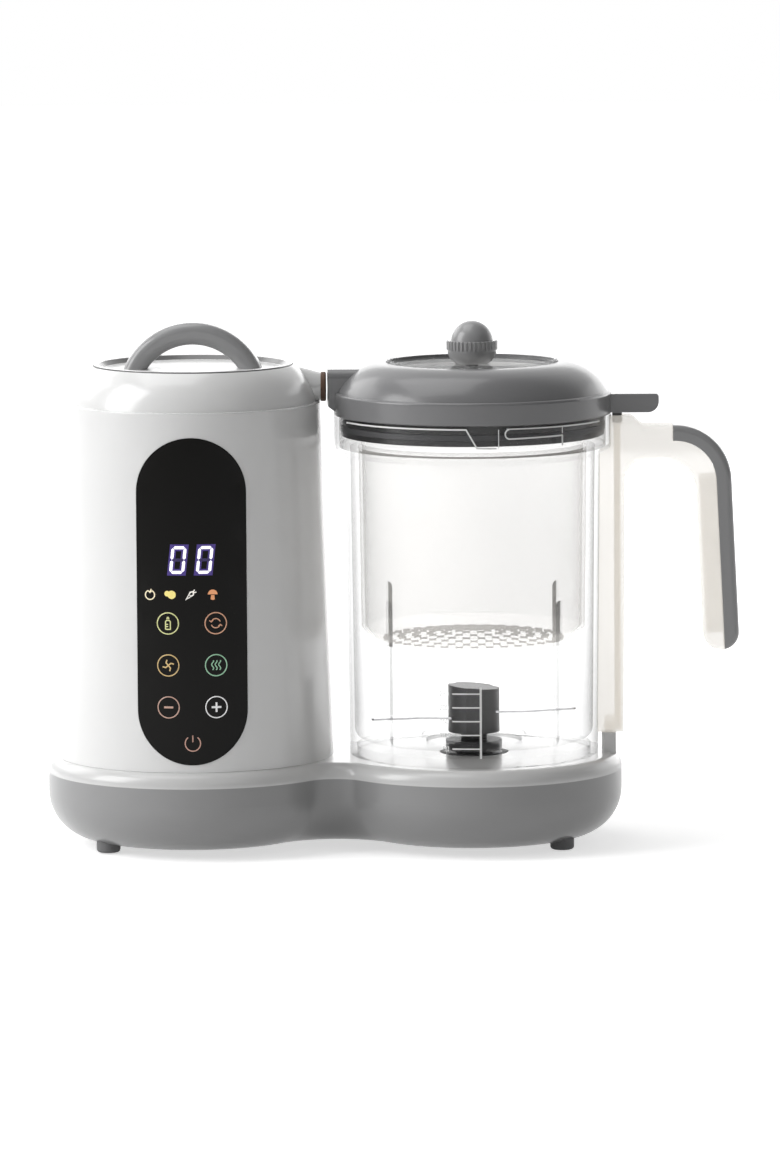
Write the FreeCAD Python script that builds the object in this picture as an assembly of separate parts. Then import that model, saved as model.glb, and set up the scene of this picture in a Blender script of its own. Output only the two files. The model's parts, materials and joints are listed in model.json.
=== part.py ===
"""Baby food maker: a steam tower and a blending jug side by side on one figure-eight base.

Millimetres. +X runs from the tower to the jug and its handle, -Y faces the user and +Z is up.
The origin is on the table, under the middle of the overall length and depth.
"""
import FreeCAD
import Part
import math
import os

Vector = FreeCAD.Vector

# Clearances
RUN_GAP = 0.05
FIT_GAP = 0.1
SLIP_GAP = 0.3

# Base
FOOT_DROP = 3.0
FOOT_R = 5.5
FOOT_EDGE_R = 1.5
FOOT_INSET = 17.0
FOOT_ANGLE = 39.0
SHELL_H = 31.0
SHELL_WALL = 2.5
SHELL_EDGE_R = 22.0
DECK_H = 7.0
DECK_WALL = 2.5
DECK_EDGE_R = 6.0
DECK_LIP_T = 1.5
DECK_LIP_H = 3.0
WAIST_R = 15.0
TOWER_LEDGE = 5.0
JUG_LEDGE = 10.9

# Tower
TOWER_FOOT_R = 63.6
TOWER_TOP_R = 58.6
TOWER_WALL = 3.0
TOWER_JUG_GAP = 6.2
CAP_LIP_T = 1.6
CAP_LIP_H = 4.0
CAP_RIM_T = 0.9
CAP_BAND_H = 1.3
CAP_SHOULDER = 1.6
CAP_BULGE = 2.0
MOUTH_R = 46.2

# Control panel
PANEL_W = 50.0
PANEL_BOTTOM_GAP = 3.5
PANEL_TOP_GAP = 10.0
PANEL_T = 1.6
PANEL_PROUD = 0.3
PANEL_LEDGE = 4.0
BUTTON_X = 10.9
BUTTON_PITCH = 19.2
LOW_BUTTON_RISE = 26.5
POWER_RISE = 10.0
DISPLAY_DROP = 55.5
PAD_R = 4.0
DISPLAY_W = 32.0
DISPLAY_H = 19.0
DISPLAY_T = 8.0
BOARD_T = 1.6
BOARD_W = 64.0
BOARD_MARGIN = 12.0
BOARD_SETBACK = 14.0
BOARD_POST_R = 3.0
BOARD_POST_INSET = 3.2

# Water tank and steam path
NOZZLE_RISE = 13.0
NOZZLE_ABOVE_SEAM = 7.7
NOZZLE_ROOT_R = 10.0
NOZZLE_END_R = 6.5
PIPE_R = 3.3
PIPE_WALL = 0.8
PIPE_ROOM = 0.3
STEAM_SEAL_R = 6.8
STEAM_SEAL_T = 2.5
STEAM_SEAL_GAP = 0.5
SEAL_SLEEVE_R = 4.6
SEAL_SLEEVE_L = 5.5
LEDGE_T = 1.2
TANK_R = 43.0
TANK_WALL = 2.0
TANK_DEPTH = 62.0
TANK_FLANGE_T = 1.2
GASKET_T = 1.2
GASKET_W = 3.8
HEATER_LIP = 7.0
HEATER_SEAL_T = 1.4
HEATER_SEAL_W = 3.4
HEATER_PLATE_T = 2.5
HEATER_PLATE_INSET = 1.0
ELEMENT_R = 25.0
ELEMENT_W = 8.0
ELEMENT_H = 6.0
ELEMENT_SWEEP = 320.0
TERMINAL_R = 1.5
TERMINAL_H = 7.0
THERMOSTAT_R = 9.0
THERMOSTAT_H = 7.0

# Tank lid and its arch handle
TANK_LID_RECESS = 1.6
TANK_LID_PROUD = 0.7
TANK_LID_UNDER = 3.4
TANK_LID_FLOOR = 2.4
TANK_LID_RIM_W = 2.2
TANK_LID_SLOPE = 2.6
ARCH_SPAN = 63.6
ARCH_H = 21.3
ARCH_GRIP_SPAN = 42.0
ARCH_GRIP_H = 11.2
ARCH_W = 18.0
ARCH_EDGE_R = 4.0

# Jug
JUG_H = 157.5
JUG_FOOT_R = 57.6
JUG_DRAFT = 1.4
JUG_WALL = 2.4
JUG_SKIRT_T = 3.4
JUG_FOOT_H = 7.0
JUG_FLOOR_T = 2.8
JUG_FLOOR_EDGE_R = 5.0
PLATFORM_R = 25.0
PLATFORM_RISE = 2.0
NECK_STEP = 5.0
NECK_H = 15.3
NECK_WALL = 2.4
SHOULDER_DROP = 3.0
BASKET_LEDGE_T = 0.6
RIB_T = 2.4
RIB_DEPTH = 2.7
RIB_H = 68.0
RIB_ANGLE = 46.0

# Basket
BASKET_GAP = 0.5
BASKET_WALL = 1.6
BASKET_DEPTH = 90.4
BASKET_SLOPE_W = 5.6
BASKET_SLOPE_H = 6.4
BASKET_CROWN = 4.0
BASKET_FLANGE_T = 1.8
BASKET_DRAFT = 1.0
HOLE_R = 1.7
HOLE_PITCH = 6.7
HOLE_RINGS = 6

# Jug handle, interlock column and grip
HANDLE_OUT = 58.8
HANDLE_T = 16.5
HANDLE_W = 18.0
HANDLE_TOP_DROP = 5.4
HANDLE_H = 104.5
HANDLE_BAR_H = 15.9
HANDLE_LEAN = 2.7
HANDLE_OUTER_R = 26.0
HANDLE_INNER_R = 15.0
HANDLE_ROOT_R = 10.0
HANDLE_EDGE_R = 3.0
HANDLE_WALL = 1.8
CREST_OUT = 9.5
CREST_RUN = 5.0
CREST_R = 4.0
HANDLE_WEBS = 5
HANDLE_WEB_T = 1.4
GRIP_T = 7.0
GRIP_START = 28.4
COLUMN_OUT = 6.0
COLUMN_TAPER = 0.8
COLUMN_W = 15.0
COLUMN_TOP_DROP = 1.0
ROD_OUT = 2.8
ROD_R = 1.3
ROD_TRAVEL = 3.0
ROD_FOOT_H = 3.0
ROD_FOOT_W = 6.0

# Interlock post, plunger and switch
POST_H = 9.2
POST_T = 6.4
POST_W = 11.0
POST_GAP = 0.6
PLUNGER_OUT = 5.0
PLUNGER_R = 1.8
PLUNGER_PROUD = 0.7
SWITCH_L = 10.0
SWITCH_W = 10.0
SWITCH_H = 10.0
SWITCH_DROP = 6.5
SWITCH_BUTTON_R = 1.2
SWITCH_BUTTON_H = 0.4
SWITCH_PLATE_T = 2.5

# Jug lid
LID_GAP = 0.2
LID_BAND_H = 10.6
LID_WALL = 2.5
LID_SKIRT_GAP = 0.7
LID_SKIRT_H = 9.6
LID_DOME_H = 13.4
LID_DOME_BULGE = 3.5
LID_EDGE_R = 1.4
LID_SHOULDER = 1.6
LID_SEAL_T = 2.8
LID_SEAL_DEPTH = 1.6
LID_SEAL_RISE = 2.6
TAB_OUT = 21.9
TAB_W = 14.0
TAB_H = 8.6
TAB_RISE = 0.5
TAB_CORNER_R = 5.0
HOOK_L = 4.4
HOOK_W = 5.0
HOOK_DROP = 4.6
HOOK_GAP = 0.8
HOOK_SLOT_SWEEP = 14.0
INLET_OUT = 2.9
INLET_W = 18.0
INLET_ABOVE = 8.3
INLET_BELOW = 6.0
INLET_EDGE_R = 4.0
INLET_BORE_R = 4.0

# Feed cap and knob
FEED_R = 39.8
FEED_SEAT_W = 3.0
FEED_SEAT_DROP = 1.7
FEED_SEAT_T = 1.8
FEED_PLUG_H = 4.4
FEED_PLATE_T = 2.4
FEED_PLATE_RISE = 0.6
FEED_RIM_T = 1.6
FEED_RIM_PROUD = 1.3
FEED_NOTCH_W = 30.0
FEED_NOTCH_H = 1.0
FEED_SEAL_T = 1.8
FEED_SEAL_DEPTH = 1.1
STEM_R = 3.0
KNOB_FOOT_R = 7.6
KNOB_CUP_H = 6.6
KNOB_FOOT_EDGE_R = 0.8
KNOB_CUP_BULGE = 1.0
KNURL_R = 11.8
KNURL_H = 4.2
KNURL_COUNT = 36
KNURL_CUT_R = 0.55
KNOB_BALL_R = 9.8
KNOB_BALL_H = 9.0
SNAP_BEAD = 0.8
SNAP_BEAD_H = 1.6
VENT_R = 1.5
VENT_OUT = 5.6

# Blade set
BLADE_SHAFT_R = 3.0
BUSH_R = 6.0
BUSH_FLANGE_R = 8.6
BUSH_FLANGE_T = 1.4
SHAFT_SEAL_R = 7.0
SHAFT_SEAL_T = 1.4
HUB_R = 11.9
HUB_H = 22.0
HUB_GAP = 0.6
HUB_CAVITY_R = 9.4
HUB_CAVITY_H = 4.2
HUB_ROOF = 4.0
HUB_SLOPE = 1.8
HUB_FLUTES = 3
HUB_FLUTE_R = 9.0
HUB_FLUTE_DEPTH = 1.3
BLADE_R = 49.5
BLADE_T = 1.0
BLADE_ROOT_W = 13.0
BLADE_TIP_W = 5.0
BLADE_SWEEP = 9.0
BLADE_BEND = 25.0
BLADE_BEND_R = 15.0
BLADE_LEAD_W = 5.9
BLADE_BACK_W = 4.5
BLADE_TIP_R = 1.7
BLADE_TIP_RAKE = 0.8
BLADE_EYE_R = 8.0
LOWER_BLADE_RISE = 6.2
BLADE_STEP = 3.0

# Couplings
HEX_AF = 14.0
HEX_GAP = 0.15
HEX_H = 4.5
JUG_COUPLING_R = 13.0
JUG_COUPLING_DROP = 0.3
JUG_COUPLING_RISE = 1.4
SOCKET_ROOF = 1.0
WELL_R = 16.0
WELL_DEPTH = 5.5
WELL_WALL = 2.2
COUPLING_DISC_R = 13.0
COUPLING_DISC_T = 4.6

# Belt drive
OUTPUT_SHAFT_R = 4.0
HOUSING_R = 11.0
HOUSING_H = 9.0
HOUSING_FLANGE_R = 17.5
HOUSING_FLANGE_T = 2.5
BEARING_R = 7.5
BEARING_H = 4.0
WASHER_R = 8.0
WASHER_T = 1.5
PULLEY_H = 10.0
BELT_W = 7.0
BELT_T = 1.6
BELT_GAP = 0.1
PULLEY_FLANGE = 2.4
OUTPUT_BELT_R = 29.0
MOTOR_BELT_R = 8.0
PULLEY_HUB_R = 9.0
PULLEY_WEB_T = 3.0
PULLEY_RIM_T = 3.0
SHAFT_TAIL = 2.0

# Motor
MOTOR_SHAFT_R = 2.5
MOTOR_R = 26.0
MOTOR_H = 48.0
MOTOR_WALL = 1.6
MOTOR_STAND = 8.0
MOTOR_PLATE_T = 3.0
MOTOR_PLATE_R = 40.0
MOTOR_LEG_R = 4.5
MOTOR_LEG_PITCH = 34.0
MOTOR_HOLE_R = 8.0
END_BELL_T = 3.0
MAGNET_T = 4.0
MAGNET_GAP = 8.0
AIR_GAP = 0.8
ARMATURE_H = 30.0
ARMATURE_RISE = 11.0
COMMUTATOR_R = 7.0
COMMUTATOR_H = 5.0
ARMATURE_SLOTS = 8
ARMATURE_SLOT_R = 1.4

# Boards at the back of the tower
POWER_BOARD_W = 60.0
POWER_BOARD_H = 62.0
POWER_BOARD_RISE = 21.0
POWER_BOARD_GAP = 8.0
TRANSFORMER_W = 31.0
TRANSFORMER_H = 19.4
TRANSFORMER_T = 15.5
TRANSFORMER_RISE = 3.9
RELAY_W = 16.5
RELAY_H = 15.5
RELAY_T = 7.7
RELAY_LEFT = 21.7
UPPER_PART_RISE = 31.0
CAPACITOR_R = 3.9
CAPACITOR_L = 12.4
CAPACITOR_X = 5.2
CAPACITOR_PITCH = 10.8
RAIL_GRIP = 2.0
RAIL_T = 2.2
RAIL_W = 4.4

# Fasteners and gland
SCREW_R = 1.5
SCREW_HEAD_R = 3.0
SCREW_HEAD_H = 2.0
SCREW_L = 14.0
SCREW_HOLE_R = 1.6
BOSS_R = 5.2
BOSS_H = 6.0
POST_R = 4.2
BASE_SCREW_PITCH = 40.0
BASE_SCREW_ANGLE = 60.0
COUNTERBORE = 6.0
CASE_SCREW_GRIP = 7.5
TOWER_BOSS_R = 4.2
TOWER_BOSS_H = 18.0
TOWER_BOSS_INSET = 2.4
SMALL_SCREW_R = 1.2
SMALL_SCREW_HEAD_R = 2.2
SMALL_SCREW_L = 4.5
GLAND_R = 5.4
GLAND_BORE_R = 3.5
GLAND_FLANGE_R = 8.0
GLAND_FLANGE_T = 2.2
GLAND_TAIL = 6.0
GLAND_RISE = 12.0
CABLE_HOLE_R = 6.0
CABLE_HOLE_Y = 42.0

# Radii and places that follow from the sizes above
JUG_R = JUG_FOOT_R + JUG_DRAFT
NECK_R = JUG_R + NECK_STEP
NECK_IN_R = NECK_R - NECK_WALL
JUG_IN_R = JUG_R - JUG_WALL
JUG_IN_FOOT_R = JUG_FOOT_R - JUG_WALL
TOWER_LOBE_R = TOWER_FOOT_R + TOWER_LEDGE
JUG_LOBE_R = JUG_FOOT_R + JUG_LEDGE
AXIS_GAP = TOWER_TOP_R + NECK_R + TOWER_JUG_GAP
LENGTH = TOWER_LOBE_R + AXIS_GAP + NECK_R + HANDLE_OUT
TOWER_X = TOWER_LOBE_R - LENGTH / 2
JUG_X = TOWER_X + AXIS_GAP
COLUMN_R = NECK_R + COLUMN_OUT
ROD_U = NECK_R + ROD_OUT
PLUNGER_U = JUG_FOOT_R + PLUNGER_OUT
INLET_R = NECK_R + INLET_OUT
NOZZLE_END = AXIS_GAP - INLET_R - STEAM_SEAL_GAP - STEAM_SEAL_T
SKIRT_R = NECK_IN_R - LID_SKIRT_GAP
FEED_MOUTH_R = FEED_R - FEED_SEAT_W

# Heights that follow from the sizes above
SHELL_Z = FOOT_DROP
SPLIT_Z = SHELL_Z + SHELL_H
DECK_Z = SPLIT_Z + DECK_H
DECK_UNDER_Z = DECK_Z - DECK_WALL
BOSS_TOP_Z = SHELL_Z + SHELL_WALL + BOSS_H
RIM_Z = DECK_Z + JUG_H
NECK_Z = RIM_Z - NECK_H
LEDGE_Z = NECK_Z + BASKET_LEDGE_T
FLOOR_Z = DECK_Z + JUG_FOOT_H
PLATFORM_Z = FLOOR_Z + PLATFORM_RISE
PLATFORM_UNDER_Z = PLATFORM_Z - JUG_FLOOR_T
NOZZLE_Z = RIM_Z + NOZZLE_RISE
SEAM_Z = NOZZLE_Z - NOZZLE_ABOVE_SEAM
CAP_LEDGE_Z = NOZZLE_Z + PIPE_R + PIPE_ROOM
TANK_TOP_Z = CAP_LEDGE_Z + LEDGE_T + TANK_FLANGE_T
GASKET_TOP_Z = TANK_TOP_Z + GASKET_T
CAP_Z = GASKET_TOP_Z + TANK_LID_UNDER
TANK_Z = TANK_TOP_Z - TANK_DEPTH
ARCH_Z = CAP_Z - TANK_LID_RECESS
PANEL_Z = DECK_Z + PANEL_BOTTOM_GAP
PANEL_TOP_Z = SEAM_Z - PANEL_TOP_GAP
LID_Z = RIM_Z + LID_GAP
BAND_Z = LID_Z + LID_BAND_H
DOME_Z = BAND_Z + LID_DOME_H
FEED_SEAT_Z = DOME_Z - FEED_SEAT_DROP
FEED_PLATE_Z = FEED_SEAT_Z + FEED_PLATE_RISE
POST_TOP_Z = DECK_Z + POST_H
COLUMN_Z = POST_TOP_Z + POST_GAP
PLUNGER_TOP_Z = POST_TOP_Z + PLUNGER_PROUD
SWITCH_Z = DECK_Z - SWITCH_DROP
HANDLE_TOP_Z = RIM_Z - HANDLE_TOP_DROP
COLUMN_TOP_Z = RIM_Z - COLUMN_TOP_DROP
HOOK_Z = LID_Z - HOOK_DROP
WELL_Z = DECK_Z - WELL_DEPTH
HOUSING_TOP_Z = WELL_Z - WELL_WALL
HOUSING_Z = HOUSING_TOP_Z - HOUSING_H
PULLEY_TOP_Z = HOUSING_Z - WASHER_T - FIT_GAP
PULLEY_Z = PULLEY_TOP_Z - PULLEY_H
MOTOR_PLATE_Z = DECK_Z + MOTOR_STAND
MOTOR_Z = MOTOR_PLATE_Z + MOTOR_PLATE_T
MOTOR_TOP_Z = MOTOR_Z + MOTOR_H


def vertical(a, b):
    """Point of an outline drawn in the XZ plane."""
    return Vector(a, 0, b)


def level(a, b):
    """Point of an outline drawn in the XY plane."""
    return Vector(a, b, 0)


def across(a, b):
    """Point of an outline drawn in the YZ plane."""
    return Vector(0, a, b)


def round_corner(before, here, after):
    """Start, middle and end of the arc that rounds one corner, or the bare corner three times."""
    radius = here[2] if len(here) > 2 else 0
    corner = Vector(here[0], here[1], 0)
    if radius == 0:
        return corner, None, corner
    back = (Vector(before[0], before[1], 0) - corner).normalize()
    ahead = (Vector(after[0], after[1], 0) - corner).normalize()
    half = math.acos(max(-1, min(1, back.dot(ahead)))) / 2
    start = corner + back * (radius / math.tan(half))
    end = corner + ahead * (radius / math.tan(half))
    bisector = (back + ahead).normalize()
    middle = corner + bisector * (radius / math.sin(half) - radius)
    return start, middle, end


def outline(corners, plane):
    """Face inside a closed outline of (a, b, corner radius, bulge of the side that follows)."""
    count = len(corners)
    rounds = []
    for index in range(count):
        following = corners[(index + 1) % count]
        rounds.append(round_corner(corners[index - 1], corners[index], following))
    edges = []
    for index in range(count):
        start, middle, end = rounds[index]
        following = rounds[(index + 1) % count][0]
        if middle is not None:
            ends = [plane(point.x, point.y) for point in (start, middle, end)]
            edges.append(Part.Arc(*ends).toShape())
        side = following - end
        if side.Length < 1e-6:
            continue
        bulge = corners[index][3] if len(corners[index]) > 3 else 0
        first = plane(end.x, end.y)
        last = plane(following.x, following.y)
        if bulge == 0:
            edges.append(Part.LineSegment(first, last).toShape())
        else:
            outward = Vector(side.y, -side.x, 0).normalize()
            top = (end + following) * 0.5 + outward * bulge
            edges.append(Part.Arc(first, plane(top.x, top.y), last).toShape())
    return Part.Face(Part.Wire(edges))


def turned(corners, x):
    """Solid of revolution about the upright axis at x, from corners given as (radius, height)."""
    solid = outline(corners, vertical).revolve(Vector(0, 0, 0), Vector(0, 0, 1), 360)
    solid.translate(Vector(x, 0, 0))
    return solid


def turned_level(corners, origin):
    """Solid of revolution about the X direction through origin, from (radius, distance) corners."""
    solid = outline(corners, vertical).revolve(Vector(0, 0, 0), Vector(0, 0, 1), 360)
    solid.rotate(Vector(0, 0, 0), Vector(0, 1, 0), 90)
    solid.translate(origin)
    return solid


def disc(radius, z0, z1, x, y=0):
    """Upright cylinder between two heights."""
    return Part.makeCylinder(radius, z1 - z0, Vector(x, y, z0))


def ring(outer, inner, z0, z1, x, y=0):
    """Upright tube between two heights."""
    return disc(outer, z0, z1, x, y).cut(disc(inner, z0, z1, x, y))


def level_disc(radius, start, direction, length):
    """Cylinder along any direction."""
    return Part.makeCylinder(radius, length, start, direction)


def block(x0, x1, y0, y1, z0, z1):
    """Box between two corners."""
    return Part.makeBox(x1 - x0, y1 - y0, z1 - z0, Vector(x0, y0, z0))


def prism(corners, width, x):
    """Outline in the XZ plane, shifted to x and given a width centred on Y = 0."""
    solid = outline(corners, vertical).extrude(Vector(0, width, 0))
    solid.translate(Vector(x, -width / 2, 0))
    return solid


def hexagon(across_flats, z0, z1, x):
    """Upright hexagonal bar."""
    reach = across_flats / math.sqrt(3)
    corners = []
    for index in range(6):
        angle = math.radians(60 * index)
        corners.append((x + reach * math.cos(angle), reach * math.sin(angle)))
    solid = outline(corners, level).extrude(Vector(0, 0, z1 - z0))
    solid.translate(Vector(0, 0, z0))
    return solid


def edges_at(solid, z):
    """Edges that lie wholly at one height."""
    found = []
    for edge in solid.Edges:
        box = edge.BoundBox
        if abs(box.ZMin - z) < 1e-4 and abs(box.ZMax - z) < 1e-4:
            found.append(edge)
    return found


def around(x, radius, angles):
    """Places on a circle about the upright axis at x, angles in degrees from +X."""
    places = []
    for angle in angles:
        turn = math.radians(angle)
        places.append((x + radius * math.cos(turn), radius * math.sin(turn)))
    return places


def even_angles(count, first=0.0):
    """Angles of a pattern that repeats evenly round a full turn."""
    return [first + 360.0 * index / count for index in range(count)]


def base_prism(inset, z0, z1):
    """Figure-eight of the base, drawn in by an inset, between two heights."""
    tower_r = TOWER_LOBE_R - inset
    jug_r = JUG_LOBE_R - inset
    waist_r = WAIST_R + inset
    tower_reach = tower_r + waist_r
    jug_reach = jug_r + waist_r
    along = (tower_reach**2 - jug_reach**2 + AXIS_GAP**2) / (2 * AXIS_GAP)
    aside = math.sqrt(tower_reach**2 - along**2)
    waist = Vector(TOWER_X + along, aside, 0)
    tower = Vector(TOWER_X, 0, 0)
    jug = Vector(JUG_X, 0, 0)
    tower_back = tower + (waist - tower) * (tower_r / tower_reach)
    jug_back = jug + (waist - jug) * (jug_r / jug_reach)
    tower_front = Vector(tower_back.x, -tower_back.y, 0)
    jug_front = Vector(jug_back.x, -jug_back.y, 0)
    waist_depth = aside - waist_r
    far_left = tower - Vector(tower_r, 0, 0)
    far_right = jug + Vector(jug_r, 0, 0)
    edges = [
        Part.Arc(tower_back, far_left, tower_front).toShape(),
        Part.Arc(tower_front, Vector(waist.x, -waist_depth, 0), jug_front).toShape(),
        Part.Arc(jug_front, far_right, jug_back).toShape(),
        Part.Arc(jug_back, Vector(waist.x, waist_depth, 0), tower_back).toShape(),
    ]
    face = Part.Face(Part.Wire(edges))
    face.translate(Vector(0, 0, z0))
    return face.extrude(Vector(0, 0, z1 - z0))


def shell_outside():
    """Whole volume of the grey base shell with its rounded underside."""
    solid = base_prism(0, SHELL_Z, SPLIT_Z)
    return solid.makeFillet(SHELL_EDGE_R, edges_at(solid, SHELL_Z))


def deck_outside():
    """Whole volume of the white deck with its rounded edge."""
    solid = base_prism(0, SPLIT_Z, DECK_Z)
    return solid.makeFillet(DECK_EDGE_R, edges_at(solid, DECK_Z))


def base_screw_places():
    """Screws that hold the shell to the deck, two in each lobe."""
    tower_side = (180 - BASE_SCREW_ANGLE, 180 + BASE_SCREW_ANGLE)
    jug_side = (BASE_SCREW_ANGLE, -BASE_SCREW_ANGLE)
    return around(TOWER_X, BASE_SCREW_PITCH, tower_side) + around(JUG_X, BASE_SCREW_PITCH, jug_side)


def tower_boss_places():
    """Bosses inside the tower wall, clear of the front and the back."""
    radius = TOWER_FOOT_R - TOWER_WALL - TOWER_BOSS_INSET
    return around(TOWER_X, radius, even_angles(4, 45))


def motor_leg_places():
    """Legs of the motor plate."""
    return around(TOWER_X, MOTOR_LEG_PITCH, even_angles(4, 45))


def housing_screw_places():
    """Screws through the flange of the bearing housing."""
    radius = (HOUSING_R + HOUSING_FLANGE_R) / 2
    return around(JUG_X, radius, even_angles(3, 90))


def screw(x, y, head_z, length, shank_r, head_r):
    """Upright screw whose head hangs below head_z and whose shank rises above it."""
    head = disc(head_r, head_z - SCREW_HEAD_H, head_z, x, y)
    return head.fuse(disc(shank_r, head_z, head_z + length, x, y)).removeSplitter()


def make_base_shell():
    inside = base_prism(SHELL_WALL, SHELL_Z + SHELL_WALL, SPLIT_Z + SHELL_WALL)
    inside = inside.makeFillet(SHELL_EDGE_R - SHELL_WALL, edges_at(inside, SHELL_Z + SHELL_WALL))
    shell = shell_outside().cut(inside)
    seat_z = SHELL_Z + COUNTERBORE
    for x, y in base_screw_places():
        shell = shell.fuse(disc(BOSS_R, SHELL_Z + SHELL_WALL / 2, BOSS_TOP_Z, x, y))
        shell = shell.cut(disc(SCREW_HEAD_R + SLIP_GAP, SHELL_Z, seat_z, x, y))
        shell = shell.cut(disc(SCREW_HOLE_R, SHELL_Z, BOSS_TOP_Z, x, y))
    return shell.removeSplitter()


def make_base_deck():
    inside = base_prism(DECK_WALL, SPLIT_Z, DECK_UNDER_Z)
    inside = inside.makeFillet(DECK_EDGE_R - DECK_WALL, edges_at(inside, DECK_UNDER_Z))
    deck = deck_outside().cut(inside)
    lip_inset = SHELL_WALL + FIT_GAP
    lip_top = DECK_Z - DECK_WALL / 2
    lip = base_prism(lip_inset, SPLIT_Z - DECK_LIP_H, lip_top)
    lip = lip.cut(base_prism(lip_inset + DECK_LIP_T, SPLIT_Z - DECK_LIP_H, lip_top))
    deck = deck.fuse(lip.common(base_prism(lip_inset, SPLIT_Z - DECK_LIP_H, DECK_UNDER_Z + FIT_GAP)))
    for x, y in base_screw_places():
        deck = deck.fuse(disc(POST_R, BOSS_TOP_Z, lip_top, x, y))
        deck = deck.cut(disc(SCREW_HOLE_R, BOSS_TOP_Z, DECK_UNDER_Z, x, y))
    deck = deck.fuse(disc(WELL_R + WELL_WALL, WELL_Z - WELL_WALL, lip_top, JUG_X))
    deck = deck.cut(disc(WELL_R, WELL_Z, DECK_Z, JUG_X))
    deck = deck.cut(disc(OUTPUT_SHAFT_R + SLIP_GAP, WELL_Z - WELL_WALL, WELL_Z, JUG_X))
    for x, y in housing_screw_places():
        deck = deck.cut(disc(SMALL_SCREW_R + FIT_GAP, WELL_Z - WELL_WALL, WELL_Z, x, y))
    for x, y in tower_boss_places() + motor_leg_places():
        deck = deck.cut(disc(SCREW_HOLE_R, DECK_UNDER_Z, DECK_Z, x, y))
    deck = deck.cut(disc(MOTOR_HOLE_R, DECK_UNDER_Z, DECK_Z, TOWER_X))
    deck = deck.cut(disc(CABLE_HOLE_R, DECK_UNDER_Z, DECK_Z, TOWER_X, CABLE_HOLE_Y))
    plate_y = SWITCH_W / 2 + FIT_GAP
    x1 = switch_right()
    plate = block(x1 - SWITCH_L, x1, plate_y, plate_y + SWITCH_PLATE_T, SWITCH_Z - SWITCH_H, lip_top)
    deck = deck.fuse(plate)
    plunger_x = JUG_X + PLUNGER_U
    deck = deck.cut(disc(PLUNGER_R + SLIP_GAP, SPLIT_Z - DECK_LIP_H, DECK_Z, plunger_x))
    return deck.removeSplitter()


def switch_right():
    """Right-hand end of the switch, just inside the deck's lip."""
    lip_inset = SHELL_WALL + FIT_GAP + DECK_LIP_T
    return JUG_X + JUG_LOBE_R - lip_inset - SLIP_GAP


def make_rubber_feet():
    outside = shell_outside()
    places = around(TOWER_X, TOWER_LOBE_R - FOOT_INSET, (180 - FOOT_ANGLE, 180 + FOOT_ANGLE))
    places += around(JUG_X, JUG_LOBE_R - FOOT_INSET, (FOOT_ANGLE, -FOOT_ANGLE))
    feet = []
    for x, y in places:
        foot = disc(FOOT_R, 0, SPLIT_Z, x, y)
        foot = foot.makeFillet(FOOT_EDGE_R, edges_at(foot, 0)).cut(outside)
        lowest = min(foot.Solids, key=lambda solid: solid.BoundBox.ZMin)
        feet.append(lowest)
    return Part.makeCompound(feet)


def make_base_screws():
    head_z = SHELL_Z + COUNTERBORE
    screws = []
    for x, y in base_screw_places():
        screws.append(screw(x, y, head_z, SCREW_L, SCREW_R, SCREW_HEAD_R))
    return Part.makeCompound(screws)


def make_case_screws():
    screws = []
    for x, y in tower_boss_places() + motor_leg_places():
        screws.append(screw(x, y, DECK_UNDER_Z, DECK_WALL + CASE_SCREW_GRIP, SCREW_R, SCREW_HEAD_R))
    return Part.makeCompound(screws)


def tower_radius(z):
    """Outer radius of the tapered tower at one height."""
    return TOWER_FOOT_R + (TOWER_TOP_R - TOWER_FOOT_R) * (z - DECK_Z) / (SEAM_Z - DECK_Z)


def tower_cone(offset):
    """Tapered volume of the tower, grown or shrunk by a radial offset."""
    height = SEAM_Z - DECK_Z
    axis = Vector(TOWER_X, 0, DECK_Z)
    return Part.makeCone(TOWER_FOOT_R + offset, TOWER_TOP_R + offset, height, axis)


def panel_prism(margin):
    """Stadium of the control panel, grown by a margin and pushed through the tower front."""
    half = PANEL_W / 2 + margin
    low = PANEL_Z - margin
    high = PANEL_TOP_Z + margin
    corners = [(-half, low, half), (half, low, half), (half, high, half), (-half, high, half)]
    solid = outline(corners, vertical).extrude(Vector(0, -2 * TOWER_FOOT_R, 0))
    solid.translate(Vector(TOWER_X, 0, 0))
    return solid


def board_front():
    """Y of the front face of the control board."""
    return -(TOWER_TOP_R - BOARD_SETBACK)


def board_span():
    """Lower and upper edge of the control board."""
    return PANEL_Z + BOARD_MARGIN, PANEL_TOP_Z - BOARD_MARGIN


def board_post_places():
    """Screw posts of the control board, one near each corner, as (x, z)."""
    low, high = board_span()
    aside = BOARD_W / 2 - BOARD_POST_INSET
    places = []
    for x in (TOWER_X - aside, TOWER_X + aside):
        for z in (low + BOARD_POST_INSET, high - BOARD_POST_INSET):
            places.append((x, z))
    return places


def power_board_y():
    """Y of the front face of the power board, behind the motor."""
    return MOTOR_R + POWER_BOARD_GAP


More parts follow.
